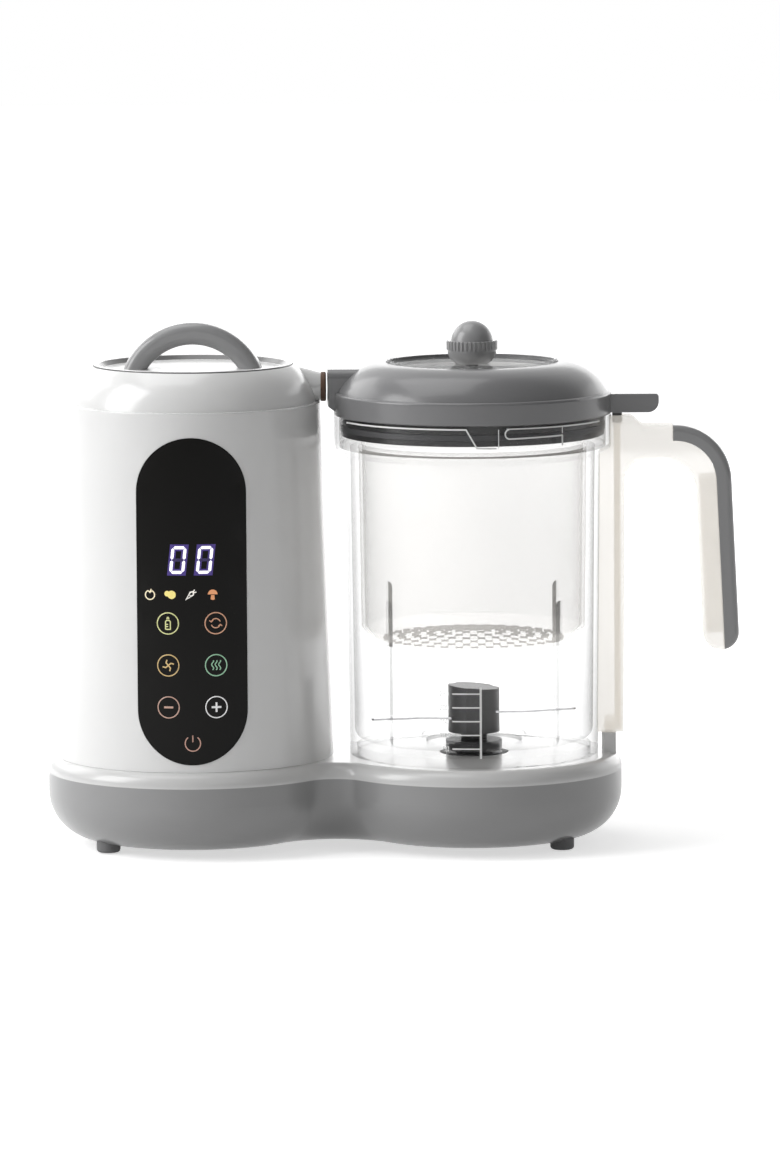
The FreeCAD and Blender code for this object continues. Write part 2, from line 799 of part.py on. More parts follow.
def make_tower_shell():
    shell = tower_cone(0).cut(tower_cone(-TOWER_WALL))
    within = tower_cone(-TOWER_WALL / 3)
    extras = []
    for x, y in tower_boss_places():
        boss = disc(TOWER_BOSS_R, DECK_Z, DECK_Z + TOWER_BOSS_H, x, y)
        extras.append(boss.common(within))
    for x, z in board_post_places():
        start = Vector(x, board_front(), z)
        post = level_disc(BOARD_POST_R, start, Vector(0, -1, 0), TOWER_FOOT_R)
        extras.append(post.common(within))
    rail_z = DECK_Z + POWER_BOARD_RISE
    rail_y = power_board_y() - RAIL_T - FIT_GAP
    for side in (-1, 1):
        inner = TOWER_X + side * (POWER_BOARD_W / 2 - RAIL_GRIP)
        outer = inner + side * (RAIL_GRIP + RAIL_W)
        rail = block(
            min(inner, outer), max(inner, outer), rail_y, TOWER_FOOT_R,
            rail_z - RAIL_T, rail_z + POWER_BOARD_H,
        )
        extras.append(rail.common(within))
    shell = shell.fuse(extras)
    slot_half = POWER_BOARD_W / 2 + FIT_GAP
    slot_y = power_board_y() - FIT_GAP
    slot = block(
        TOWER_X - slot_half, TOWER_X + slot_half, slot_y, slot_y + BOARD_T + 2 * FIT_GAP,
        rail_z, rail_z + POWER_BOARD_H,
    )
    shell = shell.cut(slot)
    for x, y in tower_boss_places():
        shell = shell.cut(disc(SCREW_HOLE_R, DECK_Z, DECK_Z + CASE_SCREW_GRIP + SLIP_GAP, x, y))
    for x, z in board_post_places():
        start = Vector(x, board_front(), z)
        shell = shell.cut(level_disc(SMALL_SCREW_R + FIT_GAP, start, Vector(0, -1, 0), SMALL_SCREW_L))
    pocket = panel_prism(FIT_GAP).cut(tower_cone(-PANEL_T - RUN_GAP))
    shell = shell.cut(pocket)
    shell = shell.cut(panel_prism(-PANEL_LEDGE))
    gland_z = DECK_Z + GLAND_RISE
    hole = level_disc(GLAND_R + FIT_GAP, Vector(TOWER_X, 0, gland_z), Vector(0, 1, 0), 2 * TOWER_FOOT_R)
    return shell.cut(hole).removeSplitter()


def make_control_panel():
    lens = tower_cone(PANEL_PROUD).cut(tower_cone(-PANEL_T))
    return lens.common(panel_prism(0))


def make_control_board():
    low, high = board_span()
    front = board_front()
    half = BOARD_W / 2
    board = block(TOWER_X - half, TOWER_X + half, front, front + BOARD_T, low, high)
    for x, z in board_post_places():
        hole = level_disc(SMALL_SCREW_R + FIT_GAP, Vector(x, front, z), Vector(0, 1, 0), BOARD_T)
        board = board.cut(hole)
    return board


def make_small_screws():
    head_z = HOUSING_TOP_Z - HOUSING_FLANGE_T
    screws = []
    for x, y in housing_screw_places():
        screws.append(screw(x, y, head_z, SMALL_SCREW_L, SMALL_SCREW_R, SMALL_SCREW_HEAD_R))
    back = board_front() + BOARD_T
    for x, z in board_post_places():
        head = level_disc(SMALL_SCREW_HEAD_R, Vector(x, back, z), Vector(0, 1, 0), SCREW_HEAD_H)
        shank = level_disc(SMALL_SCREW_R, Vector(x, back, z), Vector(0, -1, 0), SMALL_SCREW_L)
        screws.append(head.fuse(shank).removeSplitter())
    return Part.makeCompound(screws)


def make_display_module():
    front = board_front()
    half = DISPLAY_W / 2
    middle = PANEL_TOP_Z - DISPLAY_DROP
    return block(
        TOWER_X - half, TOWER_X + half, front - DISPLAY_T, front,
        middle - DISPLAY_H / 2, middle + DISPLAY_H / 2,
    )


def make_touch_pads():
    places = [(0, PANEL_Z + POWER_RISE)]
    for row in range(3):
        for x in (-BUTTON_X, BUTTON_X):
            places.append((x, PANEL_Z + LOW_BUTTON_RISE + row * BUTTON_PITCH))
    behind_lens = tower_cone(-PANEL_T - FIT_GAP)
    pads = []
    for x, z in places:
        start = Vector(TOWER_X + x, board_front(), z)
        pad = level_disc(PAD_R, start, Vector(0, -1, 0), TOWER_FOOT_R)
        pads.append(pad.common(behind_lens).Solids[0])
    return Part.makeCompound(pads)


def make_power_board():
    half = POWER_BOARD_W / 2
    y = power_board_y()
    low = DECK_Z + POWER_BOARD_RISE
    return block(TOWER_X - half, TOWER_X + half, y, y + BOARD_T, low, low + POWER_BOARD_H)


def make_power_components():
    y = power_board_y() + BOARD_T
    low = DECK_Z + POWER_BOARD_RISE
    half = TRANSFORMER_W / 2
    transformer_z = low + TRANSFORMER_RISE
    transformer = block(
        TOWER_X - half, TOWER_X + half, y, y + TRANSFORMER_T,
        transformer_z, transformer_z + TRANSFORMER_H,
    )
    relay_x = TOWER_X - RELAY_LEFT
    relay_z = low + UPPER_PART_RISE
    relay = block(relay_x, relay_x + RELAY_W, y, y + RELAY_T, relay_z, relay_z + RELAY_H)
    parts = [transformer, relay]
    for index in range(2):
        x = TOWER_X + CAPACITOR_X + index * CAPACITOR_PITCH
        start = Vector(x, y, relay_z + RELAY_H / 2)
        parts.append(level_disc(CAPACITOR_R, start, Vector(0, 1, 0), CAPACITOR_L))
    return Part.makeCompound(parts)


def make_cord_gland():
    z = DECK_Z + GLAND_RISE
    wall_y = tower_radius(z)
    tail_y = wall_y - TOWER_WALL - GLAND_TAIL
    back = Vector(0, 1, 0)
    end_y = wall_y + GLAND_FLANGE_T
    sleeve = level_disc(GLAND_R, Vector(TOWER_X, tail_y, z), back, end_y - tail_y)
    flange = level_disc(GLAND_FLANGE_R, Vector(TOWER_X, tail_y, z), back, end_y - tail_y)
    flange = flange.cut(tower_cone(FIT_GAP))
    gland = sleeve.fuse(flange)
    return gland.cut(level_disc(GLAND_BORE_R, Vector(TOWER_X, 0, z), back, end_y)).removeSplitter()


def make_tower_cap():
    lip_outer = TOWER_TOP_R - TOWER_WALL - FIT_GAP
    lip_inner = lip_outer - CAP_LIP_T
    shoulder_z = SEAM_Z + CAP_BAND_H
    rim_r = MOUTH_R + CAP_RIM_T
    outside = turned(
        [
            (0, SEAM_Z - CAP_LIP_H),
            (lip_outer, SEAM_Z - CAP_LIP_H),
            (lip_outer, SEAM_Z),
            (TOWER_TOP_R, SEAM_Z),
            (TOWER_TOP_R, shoulder_z, CAP_BAND_H / 2),
            (TOWER_TOP_R - CAP_SHOULDER, shoulder_z, 0, CAP_BULGE),
            (rim_r, CAP_Z),
            (0, CAP_Z),
        ],
        TOWER_X,
    )
    boss = Part.makeCone(
        NOZZLE_ROOT_R, NOZZLE_END_R, NOZZLE_END - MOUTH_R,
        Vector(TOWER_X + MOUTH_R, 0, NOZZLE_Z), Vector(1, 0, 0),
    )
    ledge_top = CAP_LEDGE_Z + LEDGE_T
    ledge_r = TANK_R + FIT_GAP
    cavity = turned(
        [
            (0, SEAM_Z - CAP_LIP_H),
            (lip_inner, SEAM_Z - CAP_LIP_H),
            (lip_inner, SEAM_Z + CAP_BAND_H),
            (rim_r + CAP_BULGE, CAP_LEDGE_Z),
            (ledge_r, CAP_LEDGE_Z),
            (ledge_r, ledge_top),
            (MOUTH_R, ledge_top),
            (MOUTH_R, CAP_Z),
            (0, CAP_Z),
        ],
        TOWER_X,
    )
    cap = outside.fuse(boss).cut(cavity)
    outward = Vector(1, 0, 0)
    sleeve_start = NOZZLE_END - SEAL_SLEEVE_L
    cap = cap.cut(level_disc(PIPE_R + FIT_GAP, Vector(TOWER_X, 0, NOZZLE_Z), outward, NOZZLE_END))
    sleeve_at = Vector(TOWER_X + sleeve_start, 0, NOZZLE_Z)
    cap = cap.cut(level_disc(SEAL_SLEEVE_R + FIT_GAP, sleeve_at, outward, SEAL_SLEEVE_L))
    return cap.removeSplitter()


def make_steam_seal():
    start = NOZZLE_END - SEAL_SLEEVE_L
    bore = PIPE_R - PIPE_WALL
    corners = [
        (bore, start),
        (SEAL_SLEEVE_R, start),
        (SEAL_SLEEVE_R, NOZZLE_END),
        (STEAM_SEAL_R, NOZZLE_END, STEAM_SEAL_T / 5),
        (STEAM_SEAL_R, NOZZLE_END + STEAM_SEAL_T, STEAM_SEAL_T / 3),
        (bore, NOZZLE_END + STEAM_SEAL_T),
    ]
    return turned_level(corners, Vector(TOWER_X, 0, NOZZLE_Z))


def make_steam_pipe():
    outward = Vector(1, 0, 0)
    end = NOZZLE_END - SEAL_SLEEVE_L
    start = Vector(TOWER_X, 0, NOZZLE_Z)
    pipe = level_disc(PIPE_R, start, outward, end).cut(level_disc(PIPE_R - PIPE_WALL, start, outward, end))
    return pipe.cut(disc(TANK_R, TANK_Z, CAP_Z, TOWER_X))


def make_water_tank():
    inner = TANK_R - TANK_WALL
    flange_r = MOUTH_R - FIT_GAP
    tank = turned(
        [
            (TANK_R - HEATER_LIP, TANK_Z),
            (TANK_R, TANK_Z),
            (TANK_R, TANK_TOP_Z - TANK_FLANGE_T),
            (flange_r, TANK_TOP_Z - TANK_FLANGE_T),
            (flange_r, TANK_TOP_Z),
            (inner, TANK_TOP_Z),
            (inner, TANK_Z + TANK_WALL),
            (TANK_R - HEATER_LIP, TANK_Z + TANK_WALL),
        ],
        TOWER_X,
    )
    port = level_disc(PIPE_R - PIPE_WALL, Vector(TOWER_X, 0, NOZZLE_Z), Vector(1, 0, 0), TANK_R)
    return tank.cut(port)


def heater_plate_top():
    """Height of the upper face of the heating plate, below its seal."""
    return TANK_Z - HEATER_SEAL_T


def make_heater_seal():
    outer = TANK_R - HEATER_PLATE_INSET
    return ring(outer, outer - HEATER_SEAL_W, heater_plate_top(), TANK_Z, TOWER_X)


def make_heating_plate():
    top = heater_plate_top()
    return disc(TANK_R - HEATER_PLATE_INSET, top - HEATER_PLATE_T, top, TOWER_X)


def make_heating_element():
    top = heater_plate_top() - HEATER_PLATE_T
    half = ELEMENT_W / 2
    corners = [
        (ELEMENT_R - half, top - ELEMENT_H, half / 2),
        (ELEMENT_R + half, top - ELEMENT_H, half / 2),
        (ELEMENT_R + half, top),
        (ELEMENT_R - half, top),
    ]
    gap_half = (360 - ELEMENT_SWEEP) / 2
    element = outline(corners, vertical).revolve(Vector(0, 0, 0), Vector(0, 0, 1), ELEMENT_SWEEP)
    element.rotate(Vector(0, 0, 0), Vector(0, 0, 1), gap_half)
    element.translate(Vector(TOWER_X, 0, 0))
    margin = math.degrees(ELEMENT_W / ELEMENT_R)
    for x, y in around(TOWER_X, ELEMENT_R, (gap_half + margin, -gap_half - margin)):
        low = top - ELEMENT_H - TERMINAL_H
        element = element.fuse(disc(TERMINAL_R, low, top - ELEMENT_H / 2, x, y))
    return element.removeSplitter()


def make_thermostat():
    top = heater_plate_top() - HEATER_PLATE_T
    body = disc(THERMOSTAT_R, top - THERMOSTAT_H, top, TOWER_X)
    low = top - THERMOSTAT_H - TERMINAL_H
    for y in (-THERMOSTAT_R / 2, THERMOSTAT_R / 2):
        body = body.fuse(disc(TERMINAL_R, low, top - THERMOSTAT_H / 2, TOWER_X, y))
    return body.removeSplitter()


def make_tank_gasket():
    outer = MOUTH_R - 2 * SLIP_GAP
    return ring(outer, outer - GASKET_W, TANK_TOP_Z, GASKET_TOP_Z, TOWER_X)


def make_tank_lid():
    rim_r = MOUTH_R - SLIP_GAP
    plug_r = TANK_R - TANK_WALL - 2 * SLIP_GAP
    inner = rim_r - TANK_LID_RIM_W
    rim_z = CAP_Z + TANK_LID_PROUD
    return turned(
        [
            (0, ARCH_Z - TANK_LID_FLOOR),
            (plug_r, ARCH_Z - TANK_LID_FLOOR, TANK_LID_FLOOR / 4),
            (plug_r, GASKET_TOP_Z),
            (rim_r, GASKET_TOP_Z),
            (rim_r, rim_z, SLIP_GAP),
            (inner, rim_z, SLIP_GAP),
            (inner - TANK_LID_SLOPE, ARCH_Z, TANK_LID_SLOPE / 2),
            (0, ARCH_Z),
        ],
        TOWER_X,
    )


def make_arch_handle():
    corners = [
        (-ARCH_SPAN / 2, 0, 0, -ARCH_H),
        (ARCH_SPAN / 2, 0),
        (ARCH_GRIP_SPAN / 2, 0, 0, ARCH_GRIP_H),
        (-ARCH_GRIP_SPAN / 2, 0),
    ]
    arch = prism(corners, ARCH_W, TOWER_X)
    rounded = []
    for edge in arch.Edges:
        if edge.BoundBox.YLength < 1e-4 and edge.BoundBox.ZLength > 1:
            rounded.append(edge)
    arch = arch.makeFillet(ARCH_EDGE_R, rounded)
    arch.translate(Vector(0, 0, ARCH_Z))
    return arch


def make_motor_plate():
    plate = disc(MOTOR_PLATE_R, MOTOR_PLATE_Z, MOTOR_Z, TOWER_X)
    legs = [disc(MOTOR_LEG_R, DECK_Z, MOTOR_PLATE_Z, x, y) for x, y in motor_leg_places()]
    plate = plate.fuse(legs).cut(disc(MOTOR_HOLE_R, DECK_Z, MOTOR_Z, TOWER_X))
    for x, y in motor_leg_places():
        plate = plate.cut(disc(SCREW_HOLE_R, DECK_Z, MOTOR_Z, x, y))
    return plate.removeSplitter()


def make_motor_end_bell():
    return ring(MOTOR_R, MOTOR_SHAFT_R + RUN_GAP, MOTOR_Z, MOTOR_Z + END_BELL_T, TOWER_X)


def make_motor_can():
    low = MOTOR_Z + END_BELL_T
    roof = MOTOR_TOP_Z - MOTOR_WALL
    can = disc(MOTOR_R, low, MOTOR_TOP_Z, TOWER_X).cut(disc(MOTOR_R - MOTOR_WALL, low, roof, TOWER_X))
    return can.cut(disc(MOTOR_SHAFT_R + RUN_GAP, low, MOTOR_TOP_Z, TOWER_X))


def armature_span():
    """Lower and upper end of the armature."""
    low = MOTOR_Z + ARMATURE_RISE
    return low, low + ARMATURE_H


def make_motor_magnets():
    low, high = armature_span()
    outer = MOTOR_R - MOTOR_WALL - RUN_GAP
    whole = ring(outer, outer - MAGNET_T, low, high, TOWER_X)
    half = MAGNET_GAP / 2
    gap = block(TOWER_X - MOTOR_R, TOWER_X + MOTOR_R, -half, half, low, high)
    return Part.makeCompound(whole.cut(gap).Solids)


def make_motor_armature():
    low, high = armature_span()
    radius = MOTOR_R - MOTOR_WALL - MAGNET_T - AIR_GAP
    stack = ring(radius, MOTOR_SHAFT_R, low, high, TOWER_X)
    slots = []
    for x, y in around(TOWER_X, radius, even_angles(ARMATURE_SLOTS)):
        slots.append(disc(ARMATURE_SLOT_R, low, high, x, y))
    return stack.cut(slots)


def make_commutator():
    low = armature_span()[0]
    return ring(COMMUTATOR_R, MOTOR_SHAFT_R, low - COMMUTATOR_H, low, TOWER_X)


def make_motor_shaft():
    return disc(MOTOR_SHAFT_R, PULLEY_Z - SHAFT_TAIL, MOTOR_TOP_Z + SHAFT_TAIL, TOWER_X)


def belt_span():
    """Lower and upper edge of the belt, in the middle of the pulleys."""
    low = PULLEY_Z + (PULLEY_H - BELT_W) / 2
    return low, low + BELT_W


def grooved(radius, bore, x):
    """Pulley with a belt groove between two flanges."""
    low, high = belt_span()
    return turned(
        [
            (bore, PULLEY_Z),
            (radius + PULLEY_FLANGE, PULLEY_Z),
            (radius + PULLEY_FLANGE, low - BELT_GAP),
            (radius, low - BELT_GAP),
            (radius, high + BELT_GAP),
            (radius + PULLEY_FLANGE, high + BELT_GAP),
            (radius + PULLEY_FLANGE, PULLEY_TOP_Z),
            (bore, PULLEY_TOP_Z),
        ],
        x,
    )


def make_motor_pulley():
    return grooved(MOTOR_BELT_R, MOTOR_SHAFT_R, TOWER_X)


def make_output_pulley():
    pulley = grooved(OUTPUT_BELT_R, OUTPUT_SHAFT_R, JUG_X)
    hollow_r = OUTPUT_BELT_R - PULLEY_RIM_T
    hollow = ring(hollow_r, PULLEY_HUB_R, PULLEY_Z + PULLEY_WEB_T, PULLEY_TOP_Z, JUG_X)
    return pulley.cut(hollow)


def belt_prism(extra):
    """Volume inside the loop round both pulleys, grown by an extra thickness."""
    small = MOTOR_BELT_R + BELT_GAP + extra
    large = OUTPUT_BELT_R + BELT_GAP + extra
    lean = math.asin((large - small) / AXIS_GAP)
    tilt = Vector(-math.sin(lean), math.cos(lean), 0)
    tower = Vector(TOWER_X, 0, 0)
    jug = Vector(JUG_X, 0, 0)
    mirror = Vector(tilt.x, -tilt.y, 0)
    low, high = belt_span()
    edges = [
        Part.Arc(tower + tilt * small, tower - Vector(small, 0, 0), tower + mirror * small).toShape(),
        Part.LineSegment(tower + mirror * small, jug + mirror * large).toShape(),
        Part.Arc(jug + mirror * large, jug + Vector(large, 0, 0), jug + tilt * large).toShape(),
        Part.LineSegment(jug + tilt * large, tower + tilt * small).toShape(),
    ]
    face = Part.Face(Part.Wire(edges))
    face.translate(Vector(0, 0, low))
    return face.extrude(Vector(0, 0, high - low))


def make_drive_belt():
    return belt_prism(BELT_T).cut(belt_prism(0))


def make_bearing_housing():
    bore = BEARING_R + FIT_GAP / 2
    housing = disc(HOUSING_R, HOUSING_Z, HOUSING_TOP_Z, JUG_X)
    flange_z = HOUSING_TOP_Z - HOUSING_FLANGE_T
    housing = housing.fuse(disc(HOUSING_FLANGE_R, flange_z, HOUSING_TOP_Z, JUG_X))
    housing = housing.cut(disc(bore, HOUSING_Z, HOUSING_TOP_Z, JUG_X))
    for x, y in housing_screw_places():
        housing = housing.cut(disc(SMALL_SCREW_R + FIT_GAP, flange_z, HOUSING_TOP_Z, x, y))
    return housing.removeSplitter()


def make_output_bearings():
    inner = OUTPUT_SHAFT_R + RUN_GAP
    lower = ring(BEARING_R, inner, HOUSING_Z, HOUSING_Z + BEARING_H, JUG_X)
    upper = ring(BEARING_R, inner, HOUSING_TOP_Z - BEARING_H, HOUSING_TOP_Z, JUG_X)
    return Part.makeCompound([lower, upper])


def make_thrust_washer():
    return ring(WASHER_R, OUTPUT_SHAFT_R, PULLEY_TOP_Z, PULLEY_TOP_Z + WASHER_T, JUG_X)


def make_output_shaft():
    return disc(OUTPUT_SHAFT_R, PULLEY_Z - SHAFT_TAIL, DECK_Z, JUG_X)


def make_drive_coupling():
    low = DECK_Z - COUPLING_DISC_T
    coupling = disc(COUPLING_DISC_R, low, DECK_Z, JUG_X)
    coupling = coupling.fuse(hexagon(HEX_AF, DECK_Z, DECK_Z + HEX_H, JUG_X))
    return coupling.cut(disc(OUTPUT_SHAFT_R, low, DECK_Z, JUG_X)).removeSplitter()


def make_interlock_switch():
    x1 = switch_right()
    half = SWITCH_W / 2
    body = block(x1 - SWITCH_L, x1, -half, half, SWITCH_Z - SWITCH_H, SWITCH_Z)
    button = disc(SWITCH_BUTTON_R, SWITCH_Z, SWITCH_Z + SWITCH_BUTTON_H, JUG_X + PLUNGER_U)
    return body.fuse(button).removeSplitter()


def make_switch_plunger():
    low = SWITCH_Z + SWITCH_BUTTON_H + FIT_GAP
    return disc(PLUNGER_R, low, PLUNGER_TOP_Z, JUG_X + PLUNGER_U)


def make_interlock_post():
    x = JUG_X + PLUNGER_U
    post = block(x - POST_T / 2, x + POST_T / 2, -POST_W / 2, POST_W / 2, SPLIT_Z, POST_TOP_Z)
    upright = [edge for edge in post.Edges if edge.BoundBox.ZLength > 1]
    post = post.makeFillet(POST_T / 5, upright)
    post = post.cut(deck_outside()).cut(disc(PLUNGER_R + SLIP_GAP, SPLIT_Z, POST_TOP_Z, x))
    return max(post.Solids, key=lambda solid: solid.Volume)


def jug_outside():
    """Whole volume of the jug's outer shape."""
    return turned(
        [
            (0, DECK_Z),
            (JUG_FOOT_R, DECK_Z, JUG_WALL / 4),
            (JUG_R, NECK_Z - SHOULDER_DROP),
            (NECK_R, NECK_Z, JUG_WALL / 2),
            (NECK_R, RIM_Z),
            (0, RIM_Z),
        ],
        JUG_X,
    )


def jug_inner_radius(z):
    """Inner radius of the tapered jug wall at one height."""
    return JUG_IN_FOOT_R + (JUG_IN_R - JUG_IN_FOOT_R) * (z - FLOOR_Z) / (LEDGE_Z - FLOOR_Z)


def make_jug():
    cavity = turned(
        [
            (0, PLATFORM_Z),
            (PLATFORM_R - PLATFORM_RISE / 2, PLATFORM_Z, PLATFORM_RISE / 4),
            (PLATFORM_R, FLOOR_Z, PLATFORM_RISE / 4),
            (JUG_IN_FOOT_R, FLOOR_Z, JUG_FLOOR_EDGE_R),
            (JUG_IN_R, LEDGE_Z),
            (NECK_IN_R, LEDGE_Z),
            (NECK_IN_R, RIM_Z),
            (0, RIM_Z),
        ],
        JUG_X,
    )
    skirt_in = JUG_FOOT_R - JUG_SKIRT_T
    floor_under = FLOOR_Z - JUG_FLOOR_T
    under = turned(
        [
            (0, DECK_Z),
            (skirt_in, DECK_Z),
            (skirt_in, floor_under),
            (PLATFORM_R - JUG_FLOOR_T, floor_under),
            (PLATFORM_R - JUG_FLOOR_T, PLATFORM_UNDER_Z),
            (0, PLATFORM_UNDER_Z),
        ],
        JUG_X,
    )
    jug = jug_outside().cut(cavity).cut(under)
    jug = jug.cut(disc(BUSH_R + FIT_GAP, PLATFORM_UNDER_Z, PLATFORM_Z, JUG_X))
    ribs = []
    rib_in = rib_inner_radius()
    rib_top = FLOOR_Z + RIB_H
    rib_out = jug_inner_radius(rib_top) + JUG_WALL / 2
    for angle in (RIB_ANGLE, -RIB_ANGLE, 180 - RIB_ANGLE, 180 + RIB_ANGLE):
        corners = [
            (rib_in, FLOOR_Z - JUG_FLOOR_T / 2),
            (rib_out, FLOOR_Z - JUG_FLOOR_T / 2),
            (rib_out, rib_top),
            (rib_in, rib_top, RIB_DEPTH),
        ]
        rib = prism(corners, RIB_T, 0)
        rib.rotate(Vector(0, 0, 0), Vector(0, 0, 1), angle + 90)
        rib.translate(Vector(JUG_X, 0, 0))
        ribs.append(rib.common(jug_outside()))
    return jug.fuse(ribs).removeSplitter()


def rib_inner_radius():
    """Distance from the jug axis to the inner edge of the ribs."""
    return jug_inner_radius(FLOOR_Z + RIB_H) - RIB_DEPTH


def basket_radius():
    """Outer radius of the basket where the ribs guide it."""
    return rib_inner_radius() - BASKET_GAP


def make_steamer_basket():
    foot_r = basket_radius() - BASKET_DRAFT
    top_r = basket_radius()
    flange_r = NECK_IN_R - SLIP_GAP
    low = LEDGE_Z - BASKET_DEPTH
    top = LEDGE_Z + BASKET_FLANGE_T
    wall = BASKET_WALL
    floor_r = foot_r - BASKET_SLOPE_W
    slope_top = low + BASKET_SLOPE_H
    basket = turned(
        [
            (0, low + BASKET_CROWN),
            (floor_r, low),
            (foot_r, slope_top, wall),
            (top_r, LEDGE_Z),
            (flange_r, LEDGE_Z),
            (flange_r, top, BASKET_FLANGE_T / 3),
            (top_r - wall, top, BASKET_FLANGE_T / 2),
            (foot_r - wall, slope_top + wall / 2),
            (floor_r - wall / 2, low + wall),
            (0, low + wall + BASKET_CROWN),
        ],
        JUG_X,
    )
    holes = [disc(HOLE_R, low, low + BASKET_CROWN + 2 * wall, JUG_X)]
    for number in range(1, HOLE_RINGS + 1):
        for x, y in around(JUG_X, number * HOLE_PITCH, even_angles(6 * number)):
            holes.append(disc(HOLE_R, low, low + BASKET_CROWN + 2 * wall, x, y))
    return basket.cut(holes)


def lean_point(end_u, end_z, aside, up):
    """Point beside the leaning axis of the grip: aside to the right of it and up along it."""
    lean = math.radians(HANDLE_LEAN)
    u = end_u + aside * math.cos(lean) - up * math.sin(lean)
    z = end_z + aside * math.sin(lean) + up * math.cos(lean)
    return u, z


def lean_at_height(end_u, end_z, aside, z):
    """Distance from the jug axis of the line beside the leaning axis, where it passes a height."""
    u0, z0 = lean_point(end_u, end_z, aside, 0)
    return u0 - (z - z0) * math.tan(math.radians(HANDLE_LEAN))


def grip_end():
    """Centre of the rounded lower end of the grip, from the jug axis."""
    half = HANDLE_T / 2
    return NECK_R + HANDLE_OUT - half, HANDLE_TOP_Z - HANDLE_H + half


def handle_body():
    """Whole handle in one piece: root, bar and hanging grip, with softened edges."""
    end_u, end_z = grip_end()
    half = HANDLE_T / 2
    bar_z = HANDLE_TOP_Z - HANDLE_BAR_H
    low_out = lean_point(end_u, end_z, half, -half)
    low_in = lean_point(end_u, end_z, -half, -half)
    corners = [
        (JUG_R, COLUMN_TOP_Z),
        (NECK_R + CREST_OUT, COLUMN_TOP_Z, CREST_R),
        (NECK_R + CREST_OUT + CREST_RUN, HANDLE_TOP_Z, CREST_R),
        (lean_at_height(end_u, end_z, half, HANDLE_TOP_Z), HANDLE_TOP_Z, HANDLE_OUTER_R),
        (low_out[0], low_out[1], half),
        (low_in[0], low_in[1], half),
        (lean_at_height(end_u, end_z, -half, bar_z), bar_z, HANDLE_INNER_R),
        (COLUMN_R, bar_z, HANDLE_ROOT_R),
        (COLUMN_R, bar_z - 2 * HANDLE_ROOT_R),
        (JUG_R, bar_z - 2 * HANDLE_ROOT_R),
    ]
    body = prism(corners, HANDLE_W, JUG_X)
    soft = []
    for edge in body.Edges:
        box = edge.BoundBox
        if box.YLength < 1e-4 and box.XMax > JUG_X + COLUMN_R + 1e-3:
            soft.append(edge)
    return body.makeFillet(HANDLE_EDGE_R, soft)


def grip_region(margin):
    """Everything outside the line that parts the grey grip from the handle frame."""
    end_u, end_z = grip_end()
    aside = HANDLE_T / 2 - GRIP_T - margin
    under = HANDLE_TOP_Z - GRIP_T - margin
    start = NECK_R + GRIP_START - margin
    low_z = end_z - HANDLE_T
    far = 2 * HANDLE_OUT + NECK_R
    corners = [
        (start, under),
        (lean_at_height(end_u, end_z, aside, under), under, HANDLE_OUTER_R - GRIP_T),
        (lean_at_height(end_u, end_z, aside, low_z), low_z),
        (far, low_z),
        (far, HANDLE_TOP_Z + HANDLE_T),
        (start, HANDLE_TOP_Z + HANDLE_T),
    ]
    return prism(corners, 2 * HANDLE_W, JUG_X)


def handle_pocket():
    """Hollow of the handle frame behind the grip, crossed by thin webs."""
    end_u, end_z = grip_end()
    inner = -HANDLE_T / 2 + HANDLE_WALL
    open_side = HANDLE_T / 2 - GRIP_T
    top_up = HANDLE_H - HANDLE_T / 2 - HANDLE_BAR_H - HANDLE_INNER_R / 2
    corners = [
        lean_point(end_u, end_z, inner, 0),
        lean_point(end_u, end_z, open_side, 0),
        lean_point(end_u, end_z, open_side, top_up),
        lean_point(end_u, end_z, inner, top_up),
    ]
    pocket = prism(corners, HANDLE_W - 2 * HANDLE_WALL, JUG_X)
    step = top_up / (HANDLE_WEBS + 1)
    webs = []
    for index in range(1, HANDLE_WEBS + 1):
        z = end_z + index * step
        webs.append(block(
            JUG_X + NECK_R, JUG_X + NECK_R + HANDLE_OUT, -HANDLE_W, HANDLE_W,
            z - HANDLE_WEB_T / 2, z + HANDLE_WEB_T / 2,
        ))
    return pocket.cut(webs)


def make_handle_frame():
    inner_u = JUG_FOOT_R - JUG_WALL
    column = prism(
        [
            (inner_u, COLUMN_Z),
            (COLUMN_R - COLUMN_TAPER, COLUMN_Z),
            (COLUMN_R, HANDLE_TOP_Z - HANDLE_BAR_H - 2 * HANDLE_ROOT_R),
            (COLUMN_R, COLUMN_TOP_Z),
            (inner_u, COLUMN_TOP_Z),
        ],
        COLUMN_W, JUG_X,
    )
    frame = handle_body().cut(grip_region(FIT_GAP)).cut(handle_pocket())
    frame = frame.fuse(column).cut(jug_outside())
    rod_x = JUG_X + ROD_U
    frame = frame.cut(disc(ROD_R + SLIP_GAP, COLUMN_Z, COLUMN_TOP_Z, rod_x))
    foot_half = ROD_FOOT_W / 2 + SLIP_GAP
    foot_top = rod_foot_z() + ROD_FOOT_H + ROD_TRAVEL + SLIP_GAP
    pocket_x0 = JUG_X + PLUNGER_U - PLUNGER_R - SLIP_GAP
    frame = frame.cut(block(
        pocket_x0, rod_x + ROD_R + SLIP_GAP, -foot_half, foot_half, COLUMN_Z, foot_top,
    ))
    frame = frame.cut(hook_slot())
    return max(frame.removeSplitter().Solids, key=lambda solid: solid.Volume)


def hook_span():
    """Inner and outer radius that the lid's hook sweeps about the jug axis."""
    inner = ROD_U - HOOK_L / 2
    return inner, math.hypot(inner + HOOK_L, HOOK_W / 2)


